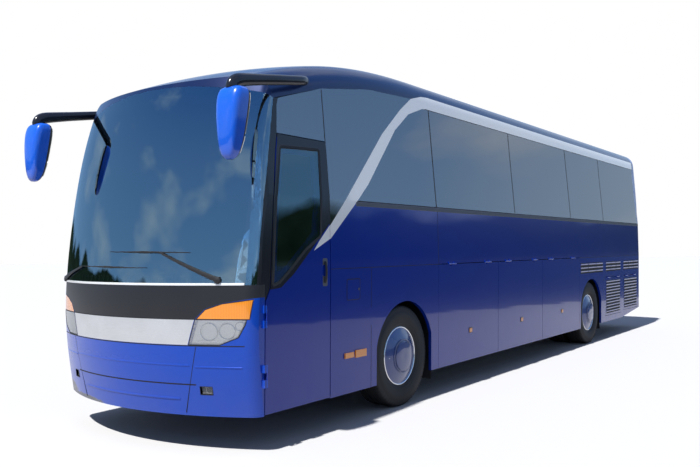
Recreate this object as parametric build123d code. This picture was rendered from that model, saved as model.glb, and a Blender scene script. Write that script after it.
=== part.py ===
from build123d import *
import math
import os

# Two-axle touring coach. Frame: X forward, Y to the left, Z up, origin on the ground below the middle.
# Millimetres.

# ---------------------------------------------------------------- main sizes
LENGTH = 12000.0          # over the mirror arms in front and the engine lid's hinges behind
FRONT_OVERHANG = 2660.0   # front axle to the mirror arms' front
WHEELBASE = 6080.0
MIRROR_REACH = 40.0       # mirror arms ahead of the nose
SKIRT_Z = 296.0           # lower edge of the flanks
WAIST_Z = 1460.0          # widest line, upper edge of the flaps
BELT_Z = 2095.0           # lower edge of the side glass
GUTTER_Z = 3280.0         # upper end of the flat flank
SKIRT_HALF = 1250.0       # half widths at those heights
WAIST_HALF = 1275.0
BELT_HALF = 1270.0
GUTTER_HALF = 1176.0
ROOF_EDGE_R = 260.0       # rounded edge between flank and roof
ROOF_CROWN_DEG = 81.5     # where the rounded edge passes into the crown
WALL = 40.0               # flanks, doors, flaps and roof
GLASS = 12.0              # glass bonded on the frames' outer side

FRONT_AXLE_X = LENGTH / 2 - FRONT_OVERHANG
REAR_AXLE_X = FRONT_AXLE_X - WHEELBASE

# hinges: barrels along an axis just outside the skin
HINGE_R = 6.0
HINGE_OUT = 7.0           # axis outboard of the skin
HINGE_LEAF = 5.0
KNUCKLE = 60.0            # length of a hinge knuckle
KNUCKLE_GAP = 0.3

NOSE_X = LENGTH / 2 - MIRROR_REACH
TAIL_X = -LENGTH / 2 + HINGE_OUT + HINGE_R

# nose and tail in plan
NOSE_R = 2550.0
NOSE_CORNER_R = 150.0
NOSE_CORNER_IN = 75.0     # corner starts this far inside the flank
TAIL_R = 6000.0
TAIL_CORNER_R = 115.0
TAIL_CORNER_IN = 92.0
CORNER_END = math.radians(84)
PLAN_OUT = 1700.0         # plan sections pass the flanks
# nose setback by height
PLAN_LEVELS = (
    (150.0, 92.0),
    (520.0, 40.0),
    (880.0, 0.0),
    (1360.0, 4.0),
    (1900.0, 66.0),
    (2450.0, 162.0),
    (2950.0, 300.0),
    (3300.0, 440.0),
    (3750.0, 660.0),
)
# the roof falls towards the nose: drop in mm per metre to the power below
DOME_START = FRONT_AXLE_X - 600.0
DOME_RATE = 34.3
DOME_POWER = 2.5
DOME_STEPS = (0.0, 900.0, 1500.0, 2000.0, 2400.0, 2800.0, 3350.0)

# ---------------------------------------------------------------- panel seams, along X from the front axle
CORNER_SEAM = FRONT_AXLE_X + 2169.0      # bumper and door
DOOR_REAR = FRONT_AXLE_X + 1284.0
BAY_SEAMS = (
    FRONT_AXLE_X - 722.0,
    FRONT_AXLE_X - 2313.0,
    FRONT_AXLE_X - 3856.0,
    FRONT_AXLE_X - 5480.0,
)
REAR_SEAM = FRONT_AXLE_X - 9100.0
PANE_SEAMS = (
    FRONT_AXLE_X - 700.0,
    FRONT_AXLE_X - 2890.0,
    FRONT_AXLE_X - 5110.0,
    FRONT_AXLE_X - 6820.0,
    FRONT_AXLE_X - 9040.0,
)
GLASS_TOP = 3200.0        # lower edge of the stripe
STRIPE_TOP = 3345.0
BUMPER_TOP = 870.0
SCREEN_BASE = 1360.0      # lower edge of the windscreen
DOOR_TOP = 2620.0
FLAP_GAP = 8.0
DOOR_GAP = 10.0
PANE_GAP = 0.5
FRAME_LAP = 55.0          # glass overlaps its frame

ARCH_R = 570.0
ARCH_DX = -20.0           # arch centre behind the axle

# ---------------------------------------------------------------- wheels
TYRE_R = 522.0
TYRE_W = 298.0
TYRE_Y = 1075.0           # outer tyre's middle
TWIN_PITCH = 335.0
RIM_R = 292.0
FLANGE_R = 303.0
FLANGE_T = 108.0          # rim flanges this far from the tyre's middle
COVER_Y = 1245.0          # outer plane of the covers
KINGPIN_Y = 930.0
KINGPIN_R = 26.0
SPINDLE_R = 40.0
BEARING_GAP = 0.3

ARCH_BACK = 560.0
ARCH_FRONT = 530.0
KINGPIN_EYE_R = 70.0
EYE_HEIGHT = 160.0
EAR = 42.0
HUB_IN = 60.0             # hub inboard and outboard of the tyre's middle
HUB_OUT = 95.0
TUBE_HALF = 560.0
SPRING_LOW_REAR = 530.0
RAIL_Z = 700.0
RAIL_TOP = 820.0
RAIL_Y = (360.0, 440.0)
WHEEL_BOX_Z = 1120.0      # underside of the wheel housings
BOX_FRONT = (610.0, 660.0, 500.0)     # reach ahead and behind the axle, inner wall
BOX_REAR = (570.0, 640.0, 565.0)
DOOR_HINGE_Z = (620.0, 1100.0)
HOUSING_LOW = 830.0
PLATE = 10.0

# ---------------------------------------------------------------- floors
DECK_Z = 1340.0
DECK_T = 40.0
PANEL_GAP = 0.4           # between panels that meet
DECK_REAR = REAR_SEAM + 20.0
DECK_FRONT = FRONT_AXLE_X + 660.0
CAB_Z = 900.0
CAB_FRONT = FRONT_AXLE_X + 2150.0
STEP_Y = (500.0, 700.0, 900.0, 1400.0)     # edges of the entry steps, from the cab outwards
STEP_TREADS = (740.0, 580.0, 420.0)
BAY_Z = 400.0
BAY_FRONT = FRONT_AXLE_X - 730.0
BAY_REAR = FRONT_AXLE_X - 5440.0
BAY_HALF = 1195.0

# engine block with gearbox
ENGINE_REAR = REAR_AXLE_X - 3050.0
ENGINE_FRONT = REAR_AXLE_X - 1500.0
ENGINE_HALF = 350.0
ENGINE_LOW = 460.0
ENGINE_TOP = 1160.0

# members of the underframe: x0, x1, y0, y1, z0, z1; a member with y0 below 0 crosses the middle
FRAME_BEAMS = (
    (BAY_FRONT, CAB_FRONT - 50, *RAIL_Y, RAIL_Z, RAIL_TOP),
    (DECK_REAR + 100, BAY_REAR, *RAIL_Y, RAIL_Z, RAIL_TOP),
    (BAY_FRONT, BAY_FRONT + 60, -1190, 1190, 340, RAIL_Z + 1),
    (BAY_FRONT, BAY_FRONT + 60, -460, 460, RAIL_Z, 1300),
    (BAY_REAR - 60, BAY_REAR, -550, 550, 340, 1300),
    (BAY_REAR - 30, BAY_REAR, -1190, 1190, 340, 420),
    (BAY_REAR - 60, BAY_FRONT + 60, 1090, 1150, 340, 400),
    (BAY_REAR - 60, BAY_FRONT + 60, -40, 40, 340, 400),
    (DECK_REAR + 100, DECK_FRONT - 40, 1100, 1160, 1240, 1300),
    (DECK_REAR + 100, DECK_REAR + 160, -1160, 1160, 1240, 1300),
    (DECK_FRONT - 100, DECK_FRONT - 40, -1160, 1160, 1240, 1300),
    (BAY_REAR - 60, BAY_REAR, -1160, 1160, 1240, 1300),
    (BAY_FRONT, BAY_FRONT + 60, -1160, 1160, 1240, 1300),
    (DECK_REAR + 100, DECK_REAR + 160, *RAIL_Y, RAIL_Z, 1300),
    (CAB_FRONT - 110, CAB_FRONT - 50, -440, 1100, RAIL_Z, RAIL_TOP),
    (CAB_FRONT - 110, CAB_FRONT - 50, -440, 440, RAIL_Z, CAB_Z - DECK_T),
    (DOOR_REAR - 60, DOOR_REAR, -1190, 1190, RAIL_Z, CAB_Z - DECK_T),
)

# ---------------------------------------------------------------- inside and fittings
SEAT_ROWS = 12
SEAT_PITCH = 790.0
SEAT_FIRST_X = DECK_FRONT - 560.0
SEAT_Y = (230.0, 680.0, 700.0, 1150.0)
CUSHION = ((450, 340), (450, 430), (425, 455), (80, 440), (60, 340))      # x ahead of the seat's point, z
BACKREST = ((58, 340), (78, 440), (-90, 1110), (-110, 1140), (-160, 1140), (-175, 1100), (-20, 340))
SEAT_FOOT = ((60, 0), (360, 0), (430, 340), (-20, 340))
FOOT_IN = 150.0           # feet end this far inside the cushions
DRIVER_X = FRONT_AXLE_X + 1130.0
DRIVER_Y = 760.0
DASH = (
    (FRONT_AXLE_X + 1880, 1130), (FRONT_AXLE_X + 2900, 1130), (FRONT_AXLE_X + 2900, 1400), (FRONT_AXLE_X + 2060, 1400),
    (FRONT_AXLE_X + 1880, 1330),
)
WHEEL_AT = (FRONT_AXLE_X + 1760, DRIVER_Y, 1580)
WHEEL_TILT = math.radians(28)
WHEEL_R = 225.0
COLUMN = 420.0
RACK = ((760, 2800), (1300, 2840), (1300, 3080), (900, 3080), (760, 2900))     # in Y and Z
RACK_FRONT = FRONT_AXLE_X + 400.0
MARKERS = (                # x0, x1, z0, z1 on both flanks
    (FRONT_AXLE_X + 935, FRONT_AXLE_X + 1072, 625, 675),
    (FRONT_AXLE_X + 726, FRONT_AXLE_X + 903, 615, 685),
)
MARKER_OUT = 14.0
MIRROR_ARM_R = 22.0
MIRROR_ARM = (             # x, y, z on the left
    (FRONT_AXLE_X + 1430, 1130, 3160), (FRONT_AXLE_X + 1600, 1290, 3110), (FRONT_AXLE_X + 2300, 1300, 3000),
    (LENGTH / 2 - MIRROR_ARM_R, 1275, 2915), (LENGTH / 2 - MIRROR_ARM_R - 30, 1290, 2840),
)
MIRROR_Y = (1185.0, 1425.0)
MIRROR_HEAD = (            # x, z seen from the left
    (FRONT_AXLE_X + 2480, 2900), (FRONT_AXLE_X + 2440, 2820), (FRONT_AXLE_X + 2475, 2480), (FRONT_AXLE_X + 2560, 2325),
    (FRONT_AXLE_X + 2640, 2325), (FRONT_AXLE_X + 2655, 2560), (FRONT_AXLE_X + 2600, 2900),
)
MIRROR_EDGE_R = 22.0


def lean_angle():
    return math.atan2(BELT_HALF - GUTTER_HALF, GUTTER_Z - BELT_Z)


def half_width(z):
    """Half width of the flank at a height."""
    line = ((SKIRT_Z, SKIRT_HALF), (WAIST_Z, WAIST_HALF), (BELT_Z, BELT_HALF), (GUTTER_Z, GUTTER_HALF))
    if z <= SKIRT_Z:
        return SKIRT_HALF
    for (z0, y0), (z1, y1) in zip(line, line[1:]):
        if z <= z1:
            return y0 + (y1 - y0) * (z - z0) / (z1 - z0)
    (z0, y0), (z1, y1) = line[-2:]
    return y0 + (y1 - y0) * (z - z0) / (z1 - z0)


def dome_drop(x):
    return DOME_RATE * max(0.0, (x - DOME_START) / 1000.0) ** DOME_POWER


def cross_section(x, inset, bottom):
    """Outline across the coach at x, moved inwards by inset."""
    lean = lean_angle()
    crown = math.radians(ROOF_CROWN_DEG)
    gutter_z = GUTTER_Z - dome_drop(x)
    gutter_y = half_width(gutter_z)
    cy = gutter_y - ROOF_EDGE_R * math.cos(lean)
    cz = gutter_z - ROOF_EDGE_R * math.sin(lean)
    r = ROOF_EDGE_R - inset

    def edge_point(a):
        return (cy + r * math.cos(a), cz + r * math.sin(a))

    low = edge_point(lean)
    mid = edge_point((lean + crown) / 2)
    high = edge_point(crown)
    to_middle = cy / math.cos(crown)
    top = cz - to_middle * math.sin(crown) + to_middle + r
    flank = [(SKIRT_HALF - inset, bottom), (WAIST_HALF - inset, WAIST_Z), (BELT_HALF - inset, BELT_Z), low]

    def at(p, side=1):
        return Vector(x, side * p[0], p[1])

    edges = [Line(at(p), at(q)) for p, q in zip(flank, flank[1:])]
    edges.append(ThreePointArc(at(low), at(mid), at(high)))
    edges.append(ThreePointArc(at(high), Vector(x, 0, top), at(high, -1)))
    edges.append(ThreePointArc(at(high, -1), at(mid, -1), at(low, -1)))
    edges += [Line(at(p, -1), at(q, -1)) for p, q in zip(flank[::-1], flank[-2::-1])]
    edges.append(Line(at(flank[0], -1), at(flank[0])))
    return make_face(Wire(edges))


def plan_end(z, end_x, radius, corner_r, corner_in, inset):
    """Points of one end in plan: middle, start, middle and end of the corner, for an end that faces +X."""
    y1 = half_width(z) - corner_in
    a0 = math.asin(y1 / radius)
    centre = end_x - radius
    cx = centre + (radius - corner_r) * math.cos(a0)
    cy = (radius - corner_r) * math.sin(a0)
    r = corner_r - inset
    am = (a0 + CORNER_END) / 2
    start = (centre + (radius - inset) * math.cos(a0), (radius - inset) * math.sin(a0))
    mid = (cx + r * math.cos(am), cy + r * math.sin(am))
    end = (cx + r * math.cos(CORNER_END), cy + r * math.sin(CORNER_END))
    return (end_x - inset, 0.0), start, mid, end


def plan_section(z, way, end_x, radius, corner_r, corner_in, inset):
    """Half of the plan at a height: an arc across the end, two corners, and straight sides past the flanks."""
    tip, start, mid, end = plan_end(z, end_x, radius, corner_r, corner_in, inset)

    def at(p, side=1):
        return Vector(way * p[0], side * p[1], z)

    edges = [ThreePointArc(at(start, -1), at(tip), at(start))]
    for side in (1, -1):
        edges.append(ThreePointArc(at(start, side), at(mid, side), at(end, side)))
        edges.append(Line(at(end, side), at((end[0], PLAN_OUT), side)))
        edges.append(Line(at((end[0], PLAN_OUT), side), at((0, PLAN_OUT), side)))
    edges.append(Line(at((0, PLAN_OUT)), at((0, PLAN_OUT), -1)))
    return make_face(Wire(edges))


def straight_form(inset, bottom, x0, x1):
    """The body as one section drawn out from x0 to x1."""
    return extrude(cross_section(x0, inset, bottom), amount=x1 - x0, dir=(1, 0, 0))


def front_form(inset, bottom):
    """The outer form ahead of the dome's start, moved inwards by inset."""
    dome = loft([cross_section(DOME_START + d, inset, bottom) for d in DOME_STEPS])
    nose = loft([
        plan_section(z, 1, NOSE_X - back, NOSE_R, NOSE_CORNER_R, NOSE_CORNER_IN, inset) for z, back in PLAN_LEVELS
    ])
    return dome & nose


def rear_form(inset, bottom):
    """The outer form behind the dome's start, moved inwards by inset."""
    body = straight_form(inset, bottom, -LENGTH / 2 - 100.0, DOME_START)
    tail = plan_section(-200.0, -1, -TAIL_X, TAIL_R, TAIL_CORNER_R, TAIL_CORNER_IN, inset)
    tail = extrude(tail, amount=4200.0, dir=(0, 0, 1)) + box(0, DOME_START + 1, -PLAN_OUT, PLAN_OUT, -200, 4000)
    return body & tail


def box(x0, x1, y0, y1, z0, z1):
    """Box between limits."""
    return Pos((x0 + x1) / 2, (y0 + y1) / 2, (z0 + z1) / 2) * Box(abs(x1 - x0), abs(y1 - y0), abs(z1 - z0))


def side_prism(points, side=0):
    """Prism with an outline given in X and Z, through one flank (side +1 left, -1 right) or both (0)."""
    face = make_face(Polyline([Vector(x, 0, z) for x, z in points], close=True))
    if side:
        return extrude(face, amount=PLAN_OUT, dir=(0, side, 0))
    return extrude(face, amount=PLAN_OUT, dir=(0, 1, 0)) + extrude(face, amount=PLAN_OUT, dir=(0, -1, 0))


def end_prism(points, way=1, side=1):
    """Prism with an outline given in Y and Z, through the nose (way +1) or the tail (-1)."""
    face = make_face(Polyline([Vector(way * LENGTH / 4, side * y, z) for y, z in points], close=True))
    return extrude(face, amount=LENGTH / 2, dir=(way, 0, 0))


def rect(x0, x1, z0, z1, gap=0.0):
    return ((x0 + gap, z0 + gap), (x1 - gap, z0 + gap), (x1 - gap, z1 - gap), (x0 + gap, z1 - gap))


def inner(points, gap):
    """Outline moved inwards, for a polygon that runs anticlockwise."""
    moved = []
    n = len(points)
    for i in range(n):
        (ax, az), (bx, bz), (cx, cz) = points[i - 1], points[i], points[(i + 1) % n]
        l1 = math.hypot(bx - ax, bz - az)
        l2 = math.hypot(cx - bx, cz - bz)
        n1 = (-(bz - az) / l1, (bx - ax) / l1)
        n2 = (-(cz - bz) / l2, (cx - bx) / l2)
        k = gap / (1 + n1[0] * n2[0] + n1[1] * n2[1])
        moved.append((bx + k * (n1[0] + n2[0]), bz + k * (n1[1] + n2[1])))
    return moved


def along(x):
    return FRONT_AXLE_X + x


# ---------------------------------------------------------------- outlines on the flank, in X and Z
PILLAR_FRONT = (           # rear edge of the windscreen on the flank
    (along(2253), SCREEN_BASE), (along(2213), 1720), (along(2163), 2040), (along(2073), 2460), (along(1968), 2915),
)
ROOF_LINE = (              # lower edge of the roof, from the windscreen back
    (along(1968), 2915), (DOOR_REAR, 3110), (along(500), 3233), (along(-330), 3272), (along(-559), 3331),
    (along(-700), STRIPE_TOP),
)
PILLAR_REAR = (            # front edge of the door and of the glass above it, from the corner seam up
    (along(2112), 1320), (along(2095), 1560), (along(2057), 2050), (along(1990), 2470), (along(1955), DOOR_TOP),
    (along(1930), 2860), (along(1905), 2925),
)
PILLAR_FOOT = (CORNER_SEAM, 1225)
DOOR_OUTLINE = (           # anticlockwise seen from the left with X to the right
    (DOOR_REAR, SKIRT_Z), (CORNER_SEAM, SKIRT_Z), PILLAR_FOOT, *PILLAR_REAR[:5], (DOOR_REAR, DOOR_TOP),
)
DOOR_WINDOW = (
    (along(1425), 1758), (along(1640), 1640), (along(1840), 1480), (along(1990), 1370), (along(2075), 1345),
    (along(2055), 1640), (along(2020), 2050), (along(1927), 2506), (along(1393), 2529),
)
STRIPE_OUTER = (
    (along(1284), 1854), (along(868), 2262), (along(311), 2807), (along(-90), 3118), (along(-330), 3272),
    (along(-559), 3331),
)
STRIPE_INNER = ((along(1280), 1732), (along(631), 2274), (along(51), 2881), (along(-250), 3090), (along(-562), 3195))
STRIPE = (
    (DOOR_REAR, STRIPE_INNER[0][1]), (DOOR_REAR, STRIPE_OUTER[0][1]), *STRIPE_OUTER[1:], (along(-700), STRIPE_TOP),
    (REAR_SEAM, STRIPE_TOP), (REAR_SEAM, GLASS_TOP), (along(-700), GLASS_TOP), *STRIPE_INNER[:0:-1],
)
QUARTER_GLASS = (          # dark glass behind the door, between stripe and roof
    (DOOR_REAR, STRIPE_OUTER[0][1]), ROOF_LINE[1], ROOF_LINE[2], *STRIPE_OUTER[4:0:-1],
)
OVER_DOOR_GLASS = (
    (DOOR_REAR, DOOR_TOP), *PILLAR_REAR[4:], ROOF_LINE[1],
)
FIRST_PANE = (
    (PANE_SEAMS[0], BELT_Z), (along(845), BELT_Z), (along(631), 2274), (along(51), 2881), (along(-250), 3090),
    (along(-562), 3195), (PANE_SEAMS[0], GLASS_TOP),
)
# ---------------------------------------------------------------- outlines on the nose and tail, in Y and Z
SCREEN_TOP_SLOPE = 0.557   # the windscreen's upper edge rises forward, seen from the side
SCREEN_FRAME = 75.0
TRIM = ((-736, 878), (736, 878), (800, 1085), (-800, 1085))
LAMP = ((742, 878), (1000, 880), (1149, 943), (1200, 1040), (1212, 1085), (806, 1085))
INDICATOR = ((816, 1088), (1228, 1088), (1250, 1244), (1025, 1212), (892, 1165))
PANEL = (
    (-808, 1088), (808, 1088), (888, 1169), (1024, 1216), (1200, 1244), (1300, 1262), (1300, SCREEN_BASE),
    (-1300, SCREEN_BASE), (-1300, 1262), (-1200, 1244), (-1024, 1216), (-888, 1169),
)
FOG = (810, 915, 475, 541)
LID = (-850.0, 850.0, 520.0, 1450.0)        # engine lid
TAIL_LAMP = (955.0, 1130.0, 880.0, 1440.0)
REAR_WINDOW = (-1040.0, 1040.0, 2150.0, 3040.0)
WIPER_LIFT = 14.0
WIPER_T = 10.0
WIPERS = (                  # pivot, knee, blade ends, in Y and Z on the glass
    ((989, 1400), (449, 1634), (-136, 1640), (741, 1626)),
    ((-1190, 1388), (-620, 1512), (-640, 1516), (325, 1502)),
)

# louvred doors behind the rear axle: (rear x, front x, lower z, upper z)
LOUVRE_DOORS = (
    (along(-7821), along(-6886), 400.0, 1080.0),
    (along(-8980), along(-8020), 430.0, 1080.0),
)
MID_DOOR = (along(-5330), along(-4500), 330.0, 2040.0)   # right flank only
SKIRT_RISE = (along(-7887), along(-9110), 410.0)          # the skirt rises behind the rear axle


front_outer = front_form(0.0, SKIRT_Z)
front_inside = front_form(WALL, -200.0)
front_shell = front_outer - front_inside                    # body panels
front_skin = front_outer - front_form(GLASS, SKIRT_Z)       # glass layer
rear_outer = rear_form(0.0, SKIRT_Z)
rear_shell = rear_outer - rear_form(WALL, -200.0)
rear_skin = rear_outer - rear_form(GLASS, SKIRT_Z)
flank_outer = straight_form(0.0, SKIRT_Z, -LENGTH / 2, LENGTH / 2)
inside = straight_form(WALL, -200.0, -LENGTH / 2 - 1, LENGTH / 2 + 1)
flank_shell = flank_outer - inside
flank_skin = flank_outer - straight_form(GLASS, SKIRT_Z, -LENGTH / 2 - 1, LENGTH / 2 + 1)
parts = {}


def put(name, *shapes):
    """Keep one node's solids."""
    solids = [s for shape in shapes for s in shape.solids()]
    parts[name] = Compound(children=solids) if len(solids) > 1 else solids[0]


def both(make):
    """The same solid on the left and right."""
    return [make(1), make(-1)]


def wheel_arch(x, side):
    """Cut for a wheel through the flank."""
    round_part = Pos(x + ARCH_DX, side * PLAN_OUT / 2, TYRE_R) * Rot(90, 0, 0) * Cylinder(ARCH_R, PLAN_OUT)
    below = box(x + ARCH_DX - ARCH_R, x + ARCH_DX + ARCH_R, 0, side * PLAN_OUT, -100, TYRE_R)
    trimmed = box(x - ARCH_BACK, x + ARCH_FRONT, 0, side * PLAN_OUT, -100, 1200)
    return (round_part + below) & trimmed


def barrel(axis, centre, length):
    """Hinge knuckle along a row axis."""
    turn = {"x": Rot(0, 90, 0), "y": Rot(90, 0, 0), "z": Rot(0, 0, 0)}[axis]
    return Pos(*centre) * turn * Cylinder(HINGE_R, length)


def flap_hinge(x_mid, side, top_z):
    """Knuckles of one top hinge on a flank: on the flap, and the two on the wall."""
    y = side * (half_width(top_z) + HINGE_OUT)
    root = side * (half_width(top_z) - WALL / 2)

    def knuckle(xc, z_leaf, z_root):
        x0, x1 = xc - KNUCKLE / 2, xc + KNUCKLE / 2
        foot = box(x0, x1, root, y, z_leaf, z_root)
        leaf = box(x0, x1, y - HINGE_LEAF / 2, y + HINGE_LEAF / 2, top_z, z_root)
        return barrel("x", (xc, y, top_z), KNUCKLE) + foot + leaf

    on_flap = knuckle(x_mid, top_z - FLAP_GAP, top_z - 3 * FLAP_GAP)
    pitch = KNUCKLE + KNUCKLE_GAP
    return on_flap, [knuckle(x_mid + way * pitch, top_z + FLAP_GAP, top_z + 3 * FLAP_GAP) for way in (-1, 1)]


def hung_panel(base, outline, side):
    """A panel of the flank hung at its top, and the wall's knuckles."""
    x0, x1, z0, z1 = outline
    gap = FLAP_GAP / 2
    panel = base & side_prism(rect(x0 + gap, x1 - gap, z0, z1 - gap), side)
    pins = []
    for share in (0.2, 0.8):
        on_flap, on_wall = flap_hinge(x0 + share * (x1 - x0), side, z1)
        panel += on_flap
        pins += on_wall
    return panel, pins


def door_hinge(z, x_skin):
    """Knuckles of the driver's door at a height: on the door, on the wall ahead of it."""
    y = WAIST_HALF + HINGE_OUT
    root = half_width(z) - WALL / 2

    def knuckle(zc, x_from, x_to):
        z0, z1 = zc - KNUCKLE / 2, zc + KNUCKLE / 2
        foot = box(x_from, x_to, root, y, z0, z1)
        leaf = box(min(x_skin, x_to), max(x_skin, x_to), y - HINGE_LEAF / 2, y + HINGE_LEAF / 2, z0, z1)
        return barrel("z", (x_skin, y, zc), KNUCKLE) + foot + leaf

    pitch = KNUCKLE + KNUCKLE_GAP
    on_door = knuckle(z, x_skin - 4 * DOOR_GAP, x_skin - 1.5 * DOOR_GAP)
    return on_door, [knuckle(z + way * pitch, x_skin + DOOR_GAP, x_skin + 3 * DOOR_GAP) for way in (-1, 1)]


# ---------------------------------------------------------------- flanks
side_region = (
    (REAR_SEAM, SKIRT_Z), (CORNER_SEAM, SKIRT_Z), PILLAR_FOOT, *PILLAR_REAR, *ROOF_LINE[1:], (REAR_SEAM, STRIPE_TOP),
)
panes = [FIRST_PANE] + [
    rect(rear + PANE_GAP, front - PANE_GAP, BELT_Z, GLASS_TOP) for front, rear in zip(PANE_SEAMS, PANE_SEAMS[1:])
]
panes += [QUARTER_GLASS, OVER_DOOR_GLASS]
rise_x0, rise_x1, rise_z = SKIRT_RISE
rising = side_prism(
    ((rise_x0, 0), (rise_x0, SKIRT_Z), (rise_x1, rise_z), (rise_x1 - 400, rise_z), (rise_x1 - 400, 0))
)
door_hinge_x = CORNER_SEAM - DOOR_GAP / 2
door_pins = {}


def glazed(base, glass_base, outline, side, lap=FRAME_LAP):
    """A pane bonded on a frame: (frame with its opening, pane)."""
    pane = glass_base & side_prism(outline, side)
    return base - pane - side_prism(inner(outline, lap), side), pane


def make_flank(side, name, flap_count):
    region = side_prism(side_region, side)
    flank = (flank_shell & region) - rising
    glass_layer = flank_skin & region
    stripe = glass_layer & side_prism(STRIPE, side)
    cutters = [stripe, side_prism(DOOR_OUTLINE, side)]
    cutters += [wheel_arch(x, side) for x in (FRONT_AXLE_X, REAR_AXLE_X)]
    glass = []
    for outline in panes:
        glass.append(glass_layer & side_prism(outline, side))
        cutters += [glass[-1], side_prism(inner(outline, FRAME_LAP), side)]
    pins = []
    for i in range(flap_count):
        outline = (BAY_SEAMS[i + 1], BAY_SEAMS[i], SKIRT_Z, WAIST_Z)
        cutters.append(side_prism(rect(outline[0], outline[1], 0, WAIST_Z + FLAP_GAP / 2), side))
        panel, on_wall = hung_panel(flank, outline, side)
        put(f"luggage_flap_{name}_{i + 1}", panel)
        pins += on_wall
    for i, outline in enumerate(LOUVRE_DOORS):
        x0, x1, z0, z1 = outline
        gap = FLAP_GAP / 2
        cutters.append(side_prism(rect(x0, x1, z0 - gap, z1 + gap), side))
        panel, on_wall = hung_panel(flank, (x0, x1, z0 + gap, z1), side)
        put(f"louvre_door_{name}_{i + 1}", panel)
        pins += on_wall
    doorway = side_prism(inner(DOOR_OUTLINE, DOOR_GAP if side > 0 else PANE_GAP), side)
    leaf = flank & doorway
    leaf, pane = glazed(leaf, glass_layer, DOOR_WINDOW, side)
    if side > 0:
        for z in DOOR_HINGE_Z:
            on_door, on_wall = door_hinge(z, door_hinge_x)
            leaf += on_door
            door_pins[z] = on_wall
        put("driver_door", leaf)
        put("driver_door_glass", pane)
    else:
        cutters.append(side_prism(rect(*MID_DOOR), side))
        mid = flank & side_prism(rect(*MID_DOOR, gap=PANE_GAP), side)
        put("passenger_doors", leaf, mid)
        glass.append(pane)
    wall = flank.cut(*cutters).fuse(*pins)
    put(f"side_wall_{name}", wall)
    put(f"side_glass_{name}", *glass)
    return stripe


stripes = [make_flank(1, "left", 3), make_flank(-1, "right", 2)]
put("accent_stripes", *stripes)

# ---------------------------------------------------------------- roof and windscreen
def header_z(x):
    """Height of the windscreen's upper edge, seen from the side."""
    return ROOF_LINE[0][1] + (x - ROOF_LINE[0][0]) * SCREEN_TOP_SLOPE


front_x = along(2900)
roof_region = (
    (REAR_SEAM, STRIPE_TOP), *ROOF_LINE[::-1], (front_x, header_z(front_x)), (front_x, 3900), (REAR_SEAM, 3900),
)
roof_prism = side_prism(roof_region)
behind = box(-LENGTH, REAR_SEAM, -PLAN_OUT, PLAN_OUT, 0, 4000)
put("roof_shell", (front_shell & roof_prism) + ((rear_shell - behind) & roof_prism))
screen_region = (
    (PILLAR_FRONT[0][0], SCREEN_BASE), (front_x, SCREEN_BASE), (front_x, header_z(front_x)), *PILLAR_FRONT[:0:-1],
)
daylight = (
    (PILLAR_FRONT[0][0] + SCREEN_FRAME, SCREEN_BASE + SCREEN_FRAME), (front_x, SCREEN_BASE + SCREEN_FRAME),
    (front_x, header_z(front_x) - SCREEN_FRAME),
    *((x + SCREEN_FRAME, z - SCREEN_FRAME * (x < along(2000))) for x, z in PILLAR_FRONT[:0:-1]),
)
screen = front_skin & side_prism(screen_region)
frame_region = (
    PILLAR_FOOT, (CORNER_SEAM, SCREEN_BASE), (front_x, SCREEN_BASE), (front_x, header_z(front_x)), ROOF_LINE[0],
    *PILLAR_REAR[::-1],
)
put("windscreen", screen)
put("windscreen_frame", (front_shell & side_prism(frame_region)) - screen - side_prism(daylight))

# ---------------------------------------------------------------- nose below the windscreen
nose_zone = front_shell & box(CORNER_SEAM, LENGTH / 2, -PLAN_OUT, PLAN_OUT, 0, SCREEN_BASE)
corner_only = box(along(2200), LENGTH / 2, -PLAN_OUT, PLAN_OUT, 0, SCREEN_BASE)
fog_holes = [corner_only & end_prism(rect(*FOG), 1, s) for s in (1, -1)]
lamp_zones = [corner_only & end_prism(LAMP, 1, s) for s in (1, -1)]
amber_zones = [corner_only & end_prism(INDICATOR, 1, s) for s in (1, -1)]
bumper_zone = box(CORNER_SEAM, LENGTH / 2, -PLAN_OUT, PLAN_OUT, 0, BUMPER_TOP)
bumper = (nose_zone & bumper_zone).fuse(*door_pins[DOOR_HINGE_Z[0]])
for hole in fog_holes:
    bumper -= hole
put("front_bumper", bumper)
trim = nose_zone & end_prism(TRIM)
panel = nose_zone & end_prism(PANEL)
put("front_trim", trim)
put("front_panel", panel)
fascia = (nose_zone - bumper_zone).cut(end_prism(TRIM), end_prism(PANEL), *lamp_zones, *amber_zones)
fascia = fascia.fuse(*door_pins[DOOR_HINGE_Z[1]])
put("front_fascia", fascia)
lamps = [nose_zone & zone for zone in lamp_zones]
fogs = [nose_zone & zone for zone in fog_holes]
put("front_lamps", *lamps, *fogs)
ambers = [nose_zone & zone for zone in amber_zones]
for x0, x1, z0, z1 in MARKERS:
    for side in (1, -1):
        y1 = side * (half_width((z0 + z1) / 2) + MARKER_OUT)
        ambers.append(box(x0, x1, side * SKIRT_HALF * 0.9, y1, z0, z1) - flank_outer)
put("amber_lamps", *ambers)

# ---------------------------------------------------------------- tail
tail_zone = (rear_shell & box(-LENGTH / 2, REAR_SEAM, -PLAN_OUT, PLAN_OUT, 0, 3900)) - rising
lid_x = TAIL_X - HINGE_OUT
lid_top = LID[3]
gap = FLAP_GAP / 2
lid = tail_zone & end_prism(rect(LID[0] + gap, LID[1] - gap, LID[2] + gap, LID[3] - gap), -1)
glass_zone = rear_skin & box(-LENGTH / 2, REAR_SEAM, -PLAN_OUT, PLAN_OUT, 0, 3900)
tail_glass = glass_zone & end_prism(rect(*REAR_WINDOW), -1)
lights = [tail_zone & end_prism(rect(*TAIL_LAMP), -1, s) for s in (1, -1)]
frame_hole = end_prism(rect(*REAR_WINDOW, gap=FRAME_LAP), -1)
tail = tail_zone.cut(end_prism(rect(*LID), -1), tail_glass, frame_hole, *lights)


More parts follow.
